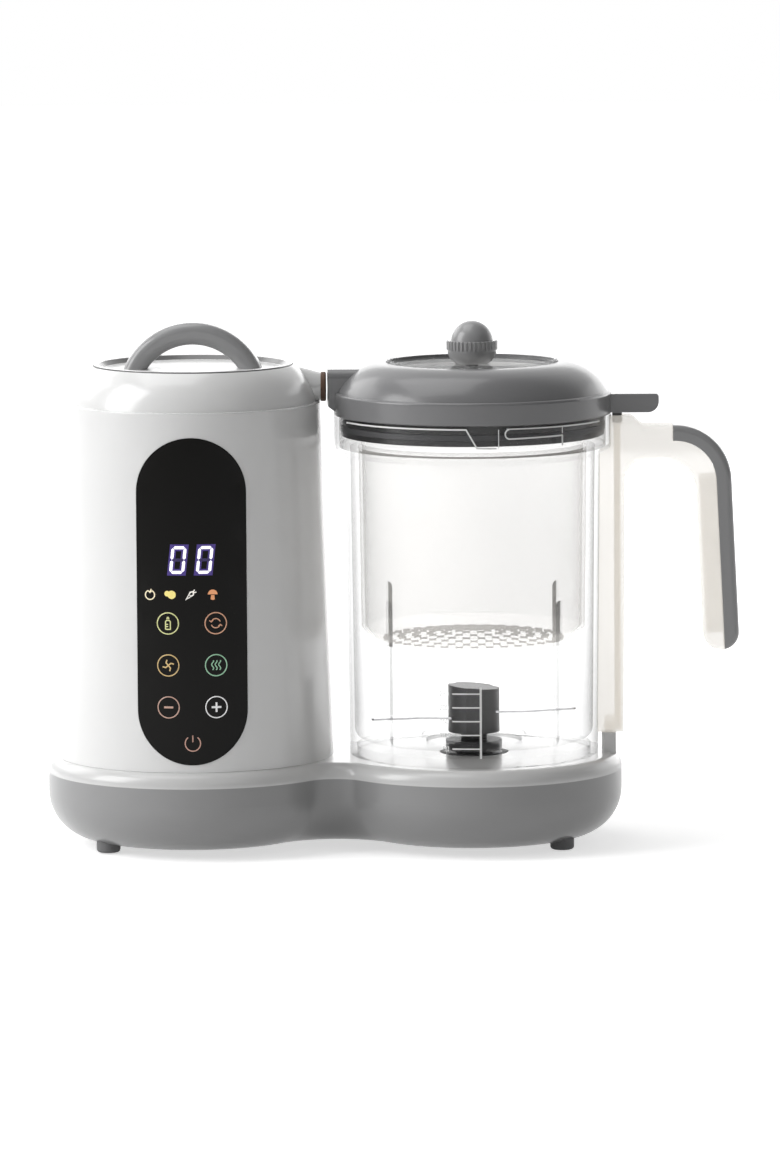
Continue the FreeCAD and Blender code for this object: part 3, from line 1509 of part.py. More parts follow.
def hook_slot():
    """Curved slot in the column's top, open to the back, where the hook swings in and out."""
    inner, outer = hook_span()
    low = HOOK_Z - HOOK_GAP
    corners = [
        (inner - SLIP_GAP, low),
        (outer + SLIP_GAP, low),
        (outer + SLIP_GAP, RIM_Z + HOOK_DROP),
        (inner - SLIP_GAP, RIM_Z + HOOK_DROP),
    ]
    slack = math.degrees((HOOK_W / 2 + SLIP_GAP) / inner)
    slot = outline(corners, vertical).revolve(Vector(0, 0, 0), Vector(0, 0, 1), slack + HOOK_SLOT_SWEEP)
    slot.rotate(Vector(0, 0, 0), Vector(0, 0, 1), -slack)
    slot.translate(Vector(JUG_X, 0, 0))
    return slot


def make_handle_grip():
    return handle_body().common(grip_region(0))


def rod_foot_z():
    """Underside of the rod's foot, just above the plunger."""
    return PLUNGER_TOP_Z + SLIP_GAP


def make_interlock_rod():
    low = rod_foot_z()
    rod_x = JUG_X + ROD_U
    rod = disc(ROD_R, low, HOOK_Z - HOOK_GAP, rod_x)
    half = ROD_FOOT_W / 2
    foot_x0 = JUG_X + PLUNGER_U - PLUNGER_R
    return rod.fuse(block(foot_x0, rod_x + ROD_R, -half, half, low, low + ROD_FOOT_H)).removeSplitter()


def make_jug_lid():
    seal_z = LID_Z - LID_SKIRT_H + LID_SEAL_RISE
    groove_top = seal_z + LID_SEAL_T
    groove_r = SKIRT_R - LID_SEAL_DEPTH
    outside = turned(
        [
            (0, LID_Z - LID_SKIRT_H),
            (SKIRT_R, LID_Z - LID_SKIRT_H, LID_WALL / 4),
            (SKIRT_R, seal_z),
            (groove_r, seal_z),
            (groove_r, groove_top),
            (SKIRT_R, groove_top),
            (SKIRT_R, LID_Z),
            (NECK_R, LID_Z, LID_EDGE_R / 2),
            (NECK_R, BAND_Z, LID_EDGE_R),
            (NECK_R - LID_SHOULDER, BAND_Z, 0, LID_DOME_BULGE),
            (FEED_R + LID_WALL / 2, DOME_Z),
            (0, DOME_Z),
        ],
        JUG_X,
    )
    tab = prism(
        [
            (SKIRT_R, LID_Z + TAB_RISE),
            (NECK_R + TAB_OUT, LID_Z + TAB_RISE, TAB_CORNER_R),
            (NECK_R + TAB_OUT, LID_Z + TAB_RISE + TAB_H, LID_EDGE_R),
            (SKIRT_R, LID_Z + TAB_RISE + TAB_H),
        ],
        TAB_W, JUG_X,
    )
    hook_in = hook_span()[0]
    hook = prism(
        [
            (hook_in, HOOK_Z, HOOK_L / 5),
            (hook_in + HOOK_L, HOOK_Z, HOOK_L / 5),
            (hook_in + HOOK_L, LID_Z + TAB_RISE + TAB_H / 2),
            (hook_in, LID_Z + TAB_RISE + TAB_H / 2),
        ],
        HOOK_W, JUG_X,
    )
    cavity_r = SKIRT_R - LID_WALL - LID_SEAL_DEPTH / 2
    cavity = turned(
        [
            (0, LID_Z - LID_SKIRT_H),
            (cavity_r, LID_Z - LID_SKIRT_H),
            (cavity_r, BAND_Z - LID_WALL / 2, 0, LID_DOME_BULGE),
            (FEED_MOUTH_R, FEED_SEAT_Z - FEED_SEAT_T),
            (FEED_MOUTH_R, FEED_SEAT_Z),
            (FEED_R, FEED_SEAT_Z),
            (FEED_R, DOME_Z),
            (0, DOME_Z),
        ],
        JUG_X,
    )
    lid = outside.fuse([tab, hook, inlet_hood()]).cut(cavity)
    inlet_at = Vector(JUG_X, 0, NOZZLE_Z)
    return lid.cut(level_disc(INLET_BORE_R, inlet_at, Vector(-1, 0, 0), 2 * INLET_R)).removeSplitter()


def inlet_hood():
    """Steam inlet on the lid's left: a hood whose end face curves about the jug axis."""
    top = NOZZLE_Z + INLET_ABOVE
    side = prism(
        [
            (-FEED_R, LID_Z),
            (-FEED_R, top),
            (-INLET_R - INLET_OUT, top),
            (-INLET_R - INLET_OUT, NOZZLE_Z - INLET_BELOW, INLET_EDGE_R),
            (-NECK_R + LID_EDGE_R, LID_Z + LID_EDGE_R),
            (-NECK_R + LID_EDGE_R, LID_Z),
        ],
        INLET_W, JUG_X,
    )
    half = INLET_W / 2
    front = outline(
        [
            (-half, LID_Z - INLET_EDGE_R, INLET_EDGE_R),
            (half, LID_Z - INLET_EDGE_R, INLET_EDGE_R),
            (half, top, INLET_EDGE_R),
            (-half, top, INLET_EDGE_R),
        ],
        across,
    ).extrude(Vector(-2 * INLET_R, 0, 0))
    front.translate(Vector(JUG_X, 0, 0))
    return side.common(front).common(disc(INLET_R, LID_Z, top, JUG_X))


def make_lid_seal():
    low = LID_Z - LID_SKIRT_H + LID_SEAL_RISE + FIT_GAP
    high = low + LID_SEAL_T - 2 * FIT_GAP
    inner = SKIRT_R - LID_SEAL_DEPTH + SLIP_GAP
    return ring(NECK_IN_R - SLIP_GAP, inner, low, high, JUG_X)


def make_feed_cap():
    outer = FEED_R - SLIP_GAP
    plug_r = FEED_MOUTH_R - SLIP_GAP
    plug_low = FEED_SEAT_Z - FEED_PLUG_H
    plate_low = FEED_PLATE_Z - FEED_PLATE_T
    seal_z = feed_seal_z()
    cap = turned(
        [
            (STEM_R + RUN_GAP, plate_low),
            (plug_r - FEED_RIM_T - FEED_SEAL_DEPTH, plate_low),
            (plug_r - FEED_RIM_T - FEED_SEAL_DEPTH, plug_low),
            (plug_r, plug_low, FEED_RIM_T / 4),
            (plug_r, seal_z),
            (plug_r - FEED_SEAL_DEPTH, seal_z),
            (plug_r - FEED_SEAL_DEPTH, seal_z + FEED_SEAL_T),
            (plug_r, seal_z + FEED_SEAL_T),
            (plug_r, FEED_SEAT_Z),
            (outer, FEED_SEAT_Z),
            (outer, DOME_Z + FEED_RIM_PROUD, FEED_RIM_T / 3),
            (outer - FEED_RIM_T, DOME_Z + FEED_RIM_PROUD, FEED_RIM_T / 3),
            (outer - FEED_RIM_T, FEED_PLATE_Z, FEED_RIM_T / 2),
            (STEM_R + RUN_GAP, FEED_PLATE_Z),
        ],
        JUG_X,
    )
    for x, y in around(JUG_X, VENT_OUT, (90, 270)):
        cap = cap.cut(disc(VENT_R, plate_low, FEED_PLATE_Z, x, y))
    rim_top = DOME_Z + FEED_RIM_PROUD
    half = FEED_NOTCH_W / 2
    return cap.cut(block(JUG_X - half, JUG_X + half, 0, FEED_R, rim_top - FEED_NOTCH_H, rim_top))


def feed_seal_z():
    """Lower edge of the feed cap's seal groove."""
    return FEED_SEAT_Z - (FEED_PLUG_H + FEED_SEAL_T) / 2 - FEED_SEAL_T / 4


def make_feed_cap_seal():
    low = feed_seal_z()
    plug_r = FEED_MOUTH_R - SLIP_GAP
    return ring(plug_r, plug_r - FEED_SEAL_DEPTH, low, low + FEED_SEAL_T, JUG_X)


def knob_levels():
    """Heights of the knob: underside, top of the cup, top of the knurled band."""
    low = FEED_PLATE_Z + FIT_GAP
    return low, low + KNOB_CUP_H, low + KNOB_CUP_H + KNURL_H


def make_knob_cup():
    low, cup_top, knurl_top = knob_levels()
    bead_top = FEED_PLATE_Z - FEED_PLATE_T - FIT_GAP
    bead_r = STEM_R + SNAP_BEAD
    cup = turned(
        [
            (0, bead_top - SNAP_BEAD_H),
            (bead_r, bead_top - SNAP_BEAD_H, SNAP_BEAD_H / 2),
            (bead_r, bead_top),
            (STEM_R, bead_top),
            (STEM_R, low),
            (KNOB_FOOT_R, low, KNOB_FOOT_EDGE_R, KNOB_CUP_BULGE),
            (KNURL_R - KNURL_CUT_R, cup_top),
            (KNURL_R, cup_top),
            (KNURL_R, knurl_top, KNURL_CUT_R),
            (0, knurl_top),
        ],
        JUG_X,
    )
    cuts = []
    for x, y in around(JUG_X, KNURL_R, even_angles(KNURL_COUNT)):
        cuts.append(disc(KNURL_CUT_R, cup_top, knurl_top, x, y))
    for x, y in around(JUG_X, VENT_OUT, (0, 180)):
        cuts.append(disc(VENT_R, low, cup_top, x, y))
    return cup.cut(cuts)


def make_knob_ball():
    knurl_top = knob_levels()[2]
    centre = Vector(JUG_X, 0, knurl_top + KNOB_BALL_H - KNOB_BALL_R)
    ball = Part.makeSphere(KNOB_BALL_R, centre)
    return ball.common(disc(KNOB_BALL_R, knurl_top, knurl_top + KNOB_BALL_H, JUG_X))


def make_shaft_bush():
    bush = disc(BUSH_R, PLATFORM_UNDER_Z, PLATFORM_Z, JUG_X)
    bush = bush.fuse(disc(BUSH_FLANGE_R, PLATFORM_Z, PLATFORM_Z + BUSH_FLANGE_T, JUG_X))
    bore = disc(BLADE_SHAFT_R + RUN_GAP, PLATFORM_UNDER_Z, PLATFORM_Z + BUSH_FLANGE_T, JUG_X)
    return bush.cut(bore).removeSplitter()


def make_shaft_seal():
    low = PLATFORM_Z + BUSH_FLANGE_T
    return ring(SHAFT_SEAL_R, BLADE_SHAFT_R + RUN_GAP, low, low + SHAFT_SEAL_T, JUG_X)


def hub_span():
    """Lower and upper end of the blade hub."""
    low = PLATFORM_Z + HUB_GAP
    return low, low + HUB_H


def socket_top():
    """Roof of the hexagonal socket under the jug."""
    return PLATFORM_UNDER_Z - JUG_COUPLING_DROP - SOCKET_ROOF


def make_blade_shaft():
    return disc(BLADE_SHAFT_R, socket_top(), hub_span()[1] - HUB_ROOF, JUG_X)


def make_jug_coupling():
    low = DECK_Z + JUG_COUPLING_RISE
    top = PLATFORM_UNDER_Z - JUG_COUPLING_DROP
    coupling = disc(JUG_COUPLING_R, low, top, JUG_X)
    coupling = coupling.cut(hexagon(HEX_AF + 2 * HEX_GAP, low, socket_top(), JUG_X))
    return coupling.cut(disc(BLADE_SHAFT_R, socket_top(), top, JUG_X))


def blade(z, turn):
    """One flat blade: an eye on the shaft and a swept, tapering arm."""
    root = BLADE_ROOT_W / 2
    tip = BLADE_R - BLADE_TIP_R
    corners = [
        (0, -root),
        (BLADE_BEND, -BLADE_LEAD_W, BLADE_BEND_R),
        (tip, BLADE_SWEEP - BLADE_TIP_W, BLADE_TIP_R),
        (tip - BLADE_TIP_RAKE, BLADE_SWEEP, BLADE_TIP_R),
        (BLADE_BEND, BLADE_BACK_W, BLADE_BEND_R),
        (0, root),
    ]
    arm = outline(corners, level).extrude(Vector(0, 0, BLADE_T))
    arm = arm.fuse(disc(BLADE_EYE_R, 0, BLADE_T, 0)).cut(disc(BLADE_SHAFT_R, 0, BLADE_T, 0))
    arm.rotate(Vector(0, 0, 0), Vector(0, 0, 1), turn)
    arm.translate(Vector(JUG_X, 0, z))
    return arm.removeSplitter()


def make_blades():
    low = hub_span()[0] + LOWER_BLADE_RISE
    return Part.makeCompound([blade(low, 180), blade(low + BLADE_STEP, 0)])


def make_blade_hub():
    low, top = hub_span()
    hub = disc(HUB_R, low, top, JUG_X)
    flutes = []
    for x, y in around(JUG_X, HUB_R + HUB_FLUTE_R - HUB_FLUTE_DEPTH, even_angles(HUB_FLUTES, 30)):
        flutes.append(disc(HUB_FLUTE_R, low, top, x, y))
    hub = hub.cut(flutes)
    wedge = prism([(-HUB_R, top), (HUB_R, top), (HUB_R, top - HUB_SLOPE)], 2 * HUB_R, JUG_X)
    hub = hub.cut(wedge)
    hub = hub.cut(disc(HUB_CAVITY_R, low, low + HUB_CAVITY_H, JUG_X))
    hub = hub.cut(disc(BLADE_SHAFT_R, low, top - HUB_ROOF, JUG_X))
    hub = hub.cut(make_blades().Solids)
    return hub.removeSplitter()


MAKERS = {
    "base_shell": make_base_shell,
    "base_deck": make_base_deck,
    "rubber_feet": make_rubber_feet,
    "base_screws": make_base_screws,
    "case_screws": make_case_screws,
    "tower_shell": make_tower_shell,
    "tower_cap": make_tower_cap,
    "control_panel": make_control_panel,
    "control_board": make_control_board,
    "small_screws": make_small_screws,
    "display_module": make_display_module,
    "touch_pads": make_touch_pads,
    "power_board": make_power_board,
    "power_components": make_power_components,
    "cord_gland": make_cord_gland,
    "water_tank": make_water_tank,
    "heater_seal": make_heater_seal,
    "heating_plate": make_heating_plate,
    "heating_element": make_heating_element,
    "thermostat": make_thermostat,
    "steam_pipe": make_steam_pipe,
    "steam_seal": make_steam_seal,
    "tank_lid": make_tank_lid,
    "tank_gasket": make_tank_gasket,
    "arch_handle": make_arch_handle,
    "motor_plate": make_motor_plate,
    "motor_end_bell": make_motor_end_bell,
    "motor_can": make_motor_can,
    "motor_magnets": make_motor_magnets,
    "motor_armature": make_motor_armature,
    "commutator": make_commutator,
    "motor_shaft": make_motor_shaft,
    "motor_pulley": make_motor_pulley,
    "drive_belt": make_drive_belt,
    "output_pulley": make_output_pulley,
    "output_shaft": make_output_shaft,
    "thrust_washer": make_thrust_washer,
    "bearing_housing": make_bearing_housing,
    "output_bearings": make_output_bearings,
    "drive_coupling": make_drive_coupling,
    "interlock_switch": make_interlock_switch,
    "switch_plunger": make_switch_plunger,
    "interlock_post": make_interlock_post,
    "jug": make_jug,
    "handle_frame": make_handle_frame,
    "handle_grip": make_handle_grip,
    "interlock_rod": make_interlock_rod,
    "steamer_basket": make_steamer_basket,
    "jug_lid": make_jug_lid,
    "lid_seal": make_lid_seal,
    "feed_cap": make_feed_cap,
    "feed_cap_seal": make_feed_cap_seal,
    "knob_cup": make_knob_cup,
    "knob_ball": make_knob_ball,
    "shaft_bush": make_shaft_bush,
    "shaft_seal": make_shaft_seal,
    "blade_shaft": make_blade_shaft,
    "jug_coupling": make_jug_coupling,
    "blades": make_blades,
    "blade_hub": make_blade_hub,
}


def main():
    os.makedirs("parts", exist_ok=True)
    for name, maker in MAKERS.items():
        shape = maker()
        print(f"{name}: {len(shape.Solids)} solid(s), {shape.Volume:.1f} mm3, valid {shape.isValid()}")
        shape.exportStep(f"parts/{name}.step")


if __name__ == "__main__":
    main()
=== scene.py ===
"""Looks of the baby food maker: finishes, printed panel, jug marks, studio and camera.

Metres, in the frame of the solids: +X to the jug handle, -Y to the user, +Z up.
"""
import bmesh
import bpy
import json
import math
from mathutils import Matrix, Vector


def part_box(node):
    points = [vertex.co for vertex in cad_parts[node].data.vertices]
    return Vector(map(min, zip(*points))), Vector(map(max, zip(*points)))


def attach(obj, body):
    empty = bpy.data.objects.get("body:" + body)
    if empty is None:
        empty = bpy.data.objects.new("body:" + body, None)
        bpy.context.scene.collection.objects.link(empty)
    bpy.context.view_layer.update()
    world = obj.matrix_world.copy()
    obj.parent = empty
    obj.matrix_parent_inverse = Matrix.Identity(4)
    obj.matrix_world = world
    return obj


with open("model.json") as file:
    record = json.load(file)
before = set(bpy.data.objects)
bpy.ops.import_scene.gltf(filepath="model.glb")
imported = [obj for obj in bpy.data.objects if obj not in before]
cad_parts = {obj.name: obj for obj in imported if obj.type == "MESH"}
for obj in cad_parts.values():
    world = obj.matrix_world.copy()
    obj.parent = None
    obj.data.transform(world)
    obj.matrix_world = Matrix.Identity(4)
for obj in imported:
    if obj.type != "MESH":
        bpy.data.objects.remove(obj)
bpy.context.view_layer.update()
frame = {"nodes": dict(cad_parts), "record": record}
nodes = frame["nodes"]
MM = 0.001

tank_low, tank_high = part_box("water_tank")
jug_low, jug_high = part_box("jug")
TOWER_X = (tank_low.x + tank_high.x) / 2
JUG_X = (jug_low.x + jug_high.x) / 2


class Wire:
    """One output socket. Arithmetic on it adds Math nodes to its tree."""

    def __init__(self, bench, socket):
        self.bench = bench
        self.socket = socket

    def maths(self, operation, first, second):
        return self.bench.node("ShaderNodeMath", {"operation": operation}, {0: first, 1: second})

    def __add__(self, other):
        return self.maths("ADD", self, other)

    def __radd__(self, other):
        return self.maths("ADD", other, self)

    def __sub__(self, other):
        return self.maths("SUBTRACT", self, other)

    def __rsub__(self, other):
        return self.maths("SUBTRACT", other, self)

    def __mul__(self, other):
        return self.maths("MULTIPLY", self, other)

    def __rmul__(self, other):
        return self.maths("MULTIPLY", other, self)

    def __truediv__(self, other):
        return self.maths("DIVIDE", self, other)

    def __pow__(self, other):
        return self.maths("POWER", self, other)

    def __gt__(self, other):
        return self.maths("GREATER_THAN", self, other)

    def __lt__(self, other):
        return self.maths("LESS_THAN", self, other)


class Bench:
    """A node tree and the one method that adds nodes to it."""

    def __init__(self, tree):
        self.tree = tree

    def node(self, kind, settings=None, inputs=None, out=0):
        made = self.tree.nodes.new(kind)
        for name, value in (settings or {}).items():
            if name == "stops":
                ramp = made.color_ramp.elements
                while len(ramp) < len(value):
                    ramp.new(0.5)
                for element, (place, colour) in zip(ramp, value):
                    element.position = place
                    element.color = colour
            else:
                setattr(made, name, value)
        for key, value in (inputs or {}).items():
            if isinstance(value, Wire):
                self.tree.links.new(value.socket, made.inputs[key])
            else:
                made.inputs[key].default_value = value
        return Wire(self, made.outputs[out]) if made.outputs else None


class Finish(Bench):
    """A material under construction, with its place on the object and its noises."""

    def __init__(self, name):
        self.material = bpy.data.materials.new(name)
        self.material.use_nodes = True
        super().__init__(self.material.node_tree)
        self.tree.nodes.clear()
        self.place = self.node("ShaderNodeTexCoord", out="Object")

    def noise(self, scale, detail=3.0, stretch=(1, 1, 1)):
        spot = self.node("ShaderNodeMapping", None, {"Vector": self.place, "Scale": stretch})
        return self.node("ShaderNodeTexNoise", None, {"Vector": spot, "Scale": scale, "Detail": detail})

    def blend(self, mask, low, high):
        return self.node(
            "ShaderNodeMix", {"data_type": "RGBA"}, {0: mask, 6: low, 7: high}, out=2
        )

    def bump(self, height, strength, depth):
        return self.node(
            "ShaderNodeBump", None, {"Height": height, "Strength": strength, "Distance": depth}
        )

    def shader(self, **sockets):
        named = {key.replace("_", " "): value for key, value in sockets.items()}
        return self.node("ShaderNodeBsdfPrincipled", None, named)

    def finish(self, shader):
        self.node("ShaderNodeOutputMaterial", None, {"Surface": shader})
        return self.material

    def close(self, **sockets):
        return self.finish(self.shader(**sockets))

    def flatness(self):
        """One where a surface lies level, nought where it stands upright."""
        facing = self.node("ShaderNodeTexCoord", out="Normal")
        upward = self.node("ShaderNodeSeparateXYZ", None, {0: facing}, out="Z")
        return upward ** 2

    def round_place(self, x):
        """Distance from an upright axis, and height, of each spot."""
        apart = self.node("ShaderNodeSeparateXYZ", None, {0: self.place}).socket.node.outputs
        across = Wire(self, apart["X"]) - x
        depth = Wire(self, apart["Y"])
        return (across ** 2 + depth ** 2) ** 0.5, Wire(self, apart["Z"])


def colour(red, green, blue):
    return (red, green, blue, 1.0)


def shade(tint, factor):
    return colour(*[min(1.0, channel * factor) for channel in tint[:3]])


def moulding(name, tint, gloss, grain=0.05, vary=0.008, painted_darkening=None, **more):
    """Injection-moulded plastic: faint flow marks, uneven gloss and a fine skin."""
    finish = Finish(name)
    flow = finish.noise(14, 4)
    skin = finish.noise(900, 2)
    patch = finish.noise(60, 3)
    tone = finish.blend(flow, shade(tint, 1 - vary), shade(tint, 1 + vary))
    # Optional painted shade: a mask and a dark tone laid over the plastic's colour where shade falls
    if painted_darkening:
        where, dark = painted_darkening
        tone = finish.blend(where(finish), tone, dark)
    return finish.close(
        Base_Color=tone,
        Roughness=gloss + (patch - 0.5) * 0.03,
        Normal=finish.bump(skin, grain, 0.0002),
        **more,
    )


def clear_moulding(name, tint, veil, rim, ribs=None):
    """Clear plastic: a thin veil where it is seen square on, denser towards its edges."""
    finish = Finish(name)
    waves = finish.noise(45, 2)
    patch = finish.noise(22, 3)
    edge = finish.node("ShaderNodeLayerWeight", None, {"Blend": 0.45}, out="Facing")
    tone = finish.blend(patch, shade(tint, 0.97), tint)
    cover = veil + edge ** 4 * rim * (1 - finish.flatness() * 0.75)
    if ribs:
        on_rib = ribs(finish)
        # Grey on the ribs, and denser there: painted refraction of the dark surroundings seen through
        # them
        tone = finish.blend(on_rib, tone, colour(0.3, 0.3, 0.305))
        cover = cover + on_rib * 0.12
    return finish.close(
        Base_Color=tone,
        Roughness=0.03 + patch * 0.03,
        Normal=finish.bump(waves, 0.03, 0.0004),
        Alpha=cover,
    )


def milky_moulding(name, tint, rough, body, rim, glow, brighter=None):
    """Milky plastic: lets part of the light straight through, with a painted glow (emission) standing
    for the light it would scatter inside.
    """
    finish = Finish(name)
    edge = finish.node("ShaderNodeLayerWeight", None, {"Blend": 0.3}, out="Facing")
    patch = finish.noise(22, 3)
    skin = finish.noise(700, 2)
    tone = finish.blend(patch, shade(tint, 0.985), tint)
    # Emission tinted like the plastic: painted glow
    painted_glow_tone = finish.blend(patch, shade(tint, glow * 0.985), shade(tint, glow))
    if brighter:
        where, most = brighter
        painted_glow_tone = finish.blend(where(finish), painted_glow_tone, shade(tint, most))
    return finish.close(
        Base_Color=tone,
        Roughness=rough + (patch - 0.5) * 0.1,
        Normal=finish.bump(skin, 0.08, 0.0002),
        Alpha=body + edge ** 4 * rim * (1 - finish.flatness()),
        Emission_Color=painted_glow_tone,
        Emission_Strength=1.0,
    )


def rubber(name, tint, rough):
    """Silicone or rubber: dull, with a soft mottled skin."""
    finish = Finish(name)
    mottle = finish.noise(180, 4)
    return finish.close(
        Base_Color=finish.blend(mottle, shade(tint, 0.9), shade(tint, 1.08)),
        Roughness=rough + (mottle - 0.5) * 0.16,
        Normal=finish.bump(finish.noise(1400, 2), 0.18, 0.0002),
        Specular_IOR_Level=0.35,
    )


def metal(name, tint, rough, stretch, scale=260):
    """Bare metal with brush or turning lines along one direction."""
    finish = Finish(name)
    lines = finish.noise(scale, 6, stretch)
    patch = finish.noise(30, 3)
    return finish.close(
        Base_Color=finish.blend(patch, shade(tint, 0.92), shade(tint, 1.05)),
        Metallic=1.0,
        Roughness=rough + (lines - 0.5) * 0.2,
        Normal=finish.bump(lines, 0.2, 0.0001),
    )


def circuit_board(name):
    """Green solder mask with paler copper tracks under it."""
    finish = Finish(name)
    tracks = finish.node(
        "ShaderNodeTexVoronoi", {"feature": "DISTANCE_TO_EDGE"}, {"Vector": finish.place, "Scale": 240}
    )
    on_track = tracks < 0.06
    return finish.close(
        Base_Color=finish.blend(on_track, colour(0.012, 0.1, 0.035), colour(0.05, 0.24, 0.09)),
        Roughness=0.38 - on_track * 0.1,
        Normal=finish.bump(on_track, 0.3, 0.0001),
    )


def printed(name, tint, glow):
    """Translucent print on the dark lens, lit softly from behind."""
    finish = Finish(name)
    spread = finish.noise(500, 2)
    return finish.close(
        Base_Color=finish.blend(spread, shade(tint, 0.8), tint),
        Roughness=0.35,
        Emission_Color=finish.blend(spread, shade(tint, 0.85), tint),
        Emission_Strength=glow,
    )


def jug_ribs_painted_refraction(finish):
    """The inner ribs stand inside the wall's own radius, above the floor; they get a painted grey for
    the dark surroundings they refract.
    """
    out, up = finish.round_place(JUG_X)
    return (out < RIB_SIDE_R) * (up > RIB_FOOT_Z)


def basket_floor_painted_glow(finish):
    """The basket's perforated floor, which gets a brighter painted glow that lifts the shade on it."""
    return finish.round_place(JUG_X)[1] < basket_floor_z


def skirt_painted_shade(finish):
    """The lid's skirt, which sits inside the jug's neck and gets painted shade there."""
    return finish.round_place(JUG_X)[1] < lid_band_z


def tank_lid_painted_shade(finish):
    """The outer edge of the tank lid and the step down to its floor, where painted shade stands for a
    shadow gap and a shaded recess wall.
    """
    out, up = finish.round_place(TOWER_X)
    edge = out > tank_lid_r - LID_EDGE
    step = (out < tank_lid_r - LID_STEP_START) * (out > tank_lid_r - LID_STEP_END)
    return (edge + step) * (up < tank_lid_top - LID_EDGE)


# Bounds of the places with painted shade, painted glow or painted refraction
RIB_SIDE_R = 55.1 * MM
RIB_FOOT_Z = 53.0 * MM
LID_EDGE = 0.2 * MM
LID_STEP_START = 2.4 * MM
LID_STEP_END = 4.6 * MM
BASKET_FLOOR_RISE = 6.2 * MM
BAND_GAP = 0.1 * MM
lid_band_z = jug_high.z + BAND_GAP
basket_floor_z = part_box("steamer_basket")[0].z + BASKET_FLOOR_RISE
lid_low, lid_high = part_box("tank_lid")
tank_lid_top = lid_high.z
tank_lid_r = (lid_high.x - lid_low.x) / 2
WHITE = colour(0.80, 0.80, 0.795)
# Painted shade tone for the tank lid's edge gap and recess wall
LID_SHADE_TONE = colour(0.16, 0.16, 0.16)
# Painted shade tone for the lid's skirt inside the jug's neck
SKIRT_SHADE_TONE = colour(0.02, 0.02, 0.02)
GREY_COAT = {"Coat_Weight": 0.25, "Coat_Roughness": 0.12}
GREY = colour(0.31, 0.31, 0.314)
white_moulding = moulding("white_moulding", WHITE, 0.24, Coat_Weight=0.5, Coat_Roughness=0.12)
# The tank lid's moulding carries painted shade at its outer edge and at the step down to its floor
tank_lid_moulding = moulding(
    "tank_lid_moulding", WHITE, 0.28, painted_darkening=(tank_lid_painted_shade, LID_SHADE_TONE),
    Coat_Weight=0.2, Coat_Roughness=0.12,
)
grey_moulding = moulding("grey_moulding", GREY, 0.3, grain=0.08, **GREY_COAT)
# The lid's moulding turns near black on its skirt below the band: painted shade
lid_moulding = moulding(
    "lid_moulding", colour(0.19, 0.19, 0.194), 0.3, grain=0.08, painted_darkening=(skirt_painted_shade, SKIRT_SHADE_TONE),
    **GREY_COAT,
)
base_moulding = moulding("base_moulding", colour(0.31, 0.31, 0.312), 0.3, grain=0.08, **GREY_COAT)
dark_moulding = moulding("dark_moulding", colour(0.075, 0.075, 0.078), 0.42, grain=0.2)
deck_moulding = moulding(
    "deck_moulding", colour(0.68, 0.68, 0.676), 0.26, Coat_Weight=0.3, Coat_Roughness=0.12
)
hub_moulding = moulding("hub_moulding", colour(0.13, 0.13, 0.132), 0.4, grain=0.2)
post_moulding = moulding("post_moulding", colour(0.75, 0.75, 0.745), 0.36, grain=0.12)
tank_moulding = moulding("tank_moulding", colour(0.5, 0.51, 0.53), 0.4, grain=0.12)
black_lens = moulding(
    "black_lens", colour(0.004, 0.0036, 0.003), 0.12, grain=0.015, Specular_IOR_Level=0.12
)
# The jug's dark grey tint shows where its cover thickens towards the edges: painted refraction of darker
# surroundings
clear_jug = clear_moulding("clear_jug", colour(0.16, 0.162, 0.164), 0.01, 1.0, jug_ribs_painted_refraction)
clear_cap = clear_moulding("clear_cap", colour(0.8, 0.805, 0.805), 0.05, 0.8)
# The basket glows by emission, its floor brighter still: painted glow
frosted_basket = milky_moulding(
    "frosted_basket", colour(0.97, 0.945, 0.91), 0.45, 0.2, 0.5, 0.1, brighter=(basket_floor_painted_glow, 0.42)
)
# The handle's milky plastic glows by emission: painted glow
milky_handle = milky_moulding("milky_handle", colour(0.985, 0.95, 0.89), 0.4, 0.45, 0.3, 0.19)
brown_silicone = rubber("brown_silicone", colour(0.13, 0.075, 0.05), 0.55)
pale_silicone = rubber("pale_silicone", colour(0.62, 0.62, 0.61), 0.55)
grey_foot = rubber("grey_foot", colour(0.2, 0.2, 0.203), 0.6)
black_belt = rubber("black_belt", colour(0.02, 0.02, 0.02), 0.65)
blade_steel = metal("blade_steel", colour(0.6, 0.6, 0.61), 0.24, (1, 12, 12))
turned_steel = metal("turned_steel", colour(0.55, 0.55, 0.56), 0.3, (1, 1, 20))
sintered_bronze = metal("sintered_bronze", colour(0.55, 0.34, 0.15), 0.42, (1, 1, 1), 700)
cast_aluminium = metal("cast_aluminium", colour(0.66, 0.66, 0.68), 0.45, (1, 1, 1), 500)
ferrite = moulding("ferrite", colour(0.03, 0.03, 0.032), 0.6, grain=0.4)
board_mask = circuit_board("board_mask")

FINISHES = {
    "white_gloss": white_moulding,
    "grey_gloss": grey_moulding,
    "clear_plastic": clear_jug,
    "frosted_plastic": frosted_basket,
    "black_gloss": black_lens,
    "dark_plastic": dark_moulding,
    "post_grey": post_moulding,
    "brown_silicone": brown_silicone,
    "pale_silicone": pale_silicone,
    "grey_rubber": grey_foot,
    "black_rubber": black_belt,
    "steel": turned_steel,
    "bronze": sintered_bronze,
    "aluminium": cast_aluminium,
    "tank_plastic": tank_moulding,
    "board_green": board_mask,
    "ferrite": ferrite,
}
OWN_FINISH = {
    "handle_frame": milky_handle,
    # The interlock rod takes the glowing milky finish: painted glow that lifts the shade inside the
    # handle's bore
    "interlock_rod": milky_handle,
    "blades": blade_steel,
    "blade_hub": hub_moulding,
    "shaft_bush": dark_moulding,
    "feed_cap": clear_cap,
    "jug_lid": lid_moulding,
    "lid_seal": dark_moulding,
    "tank_lid": tank_lid_moulding,
    "base_shell": base_moulding,
    "base_deck": deck_moulding,
}
for row in frame["record"]["subparts"]:
    mesh = nodes[row["node"]].data
    mesh.materials.clear()
    mesh.materials.append(OWN_FINISH.get(row["node"], FINISHES[row["material_slot"]]))


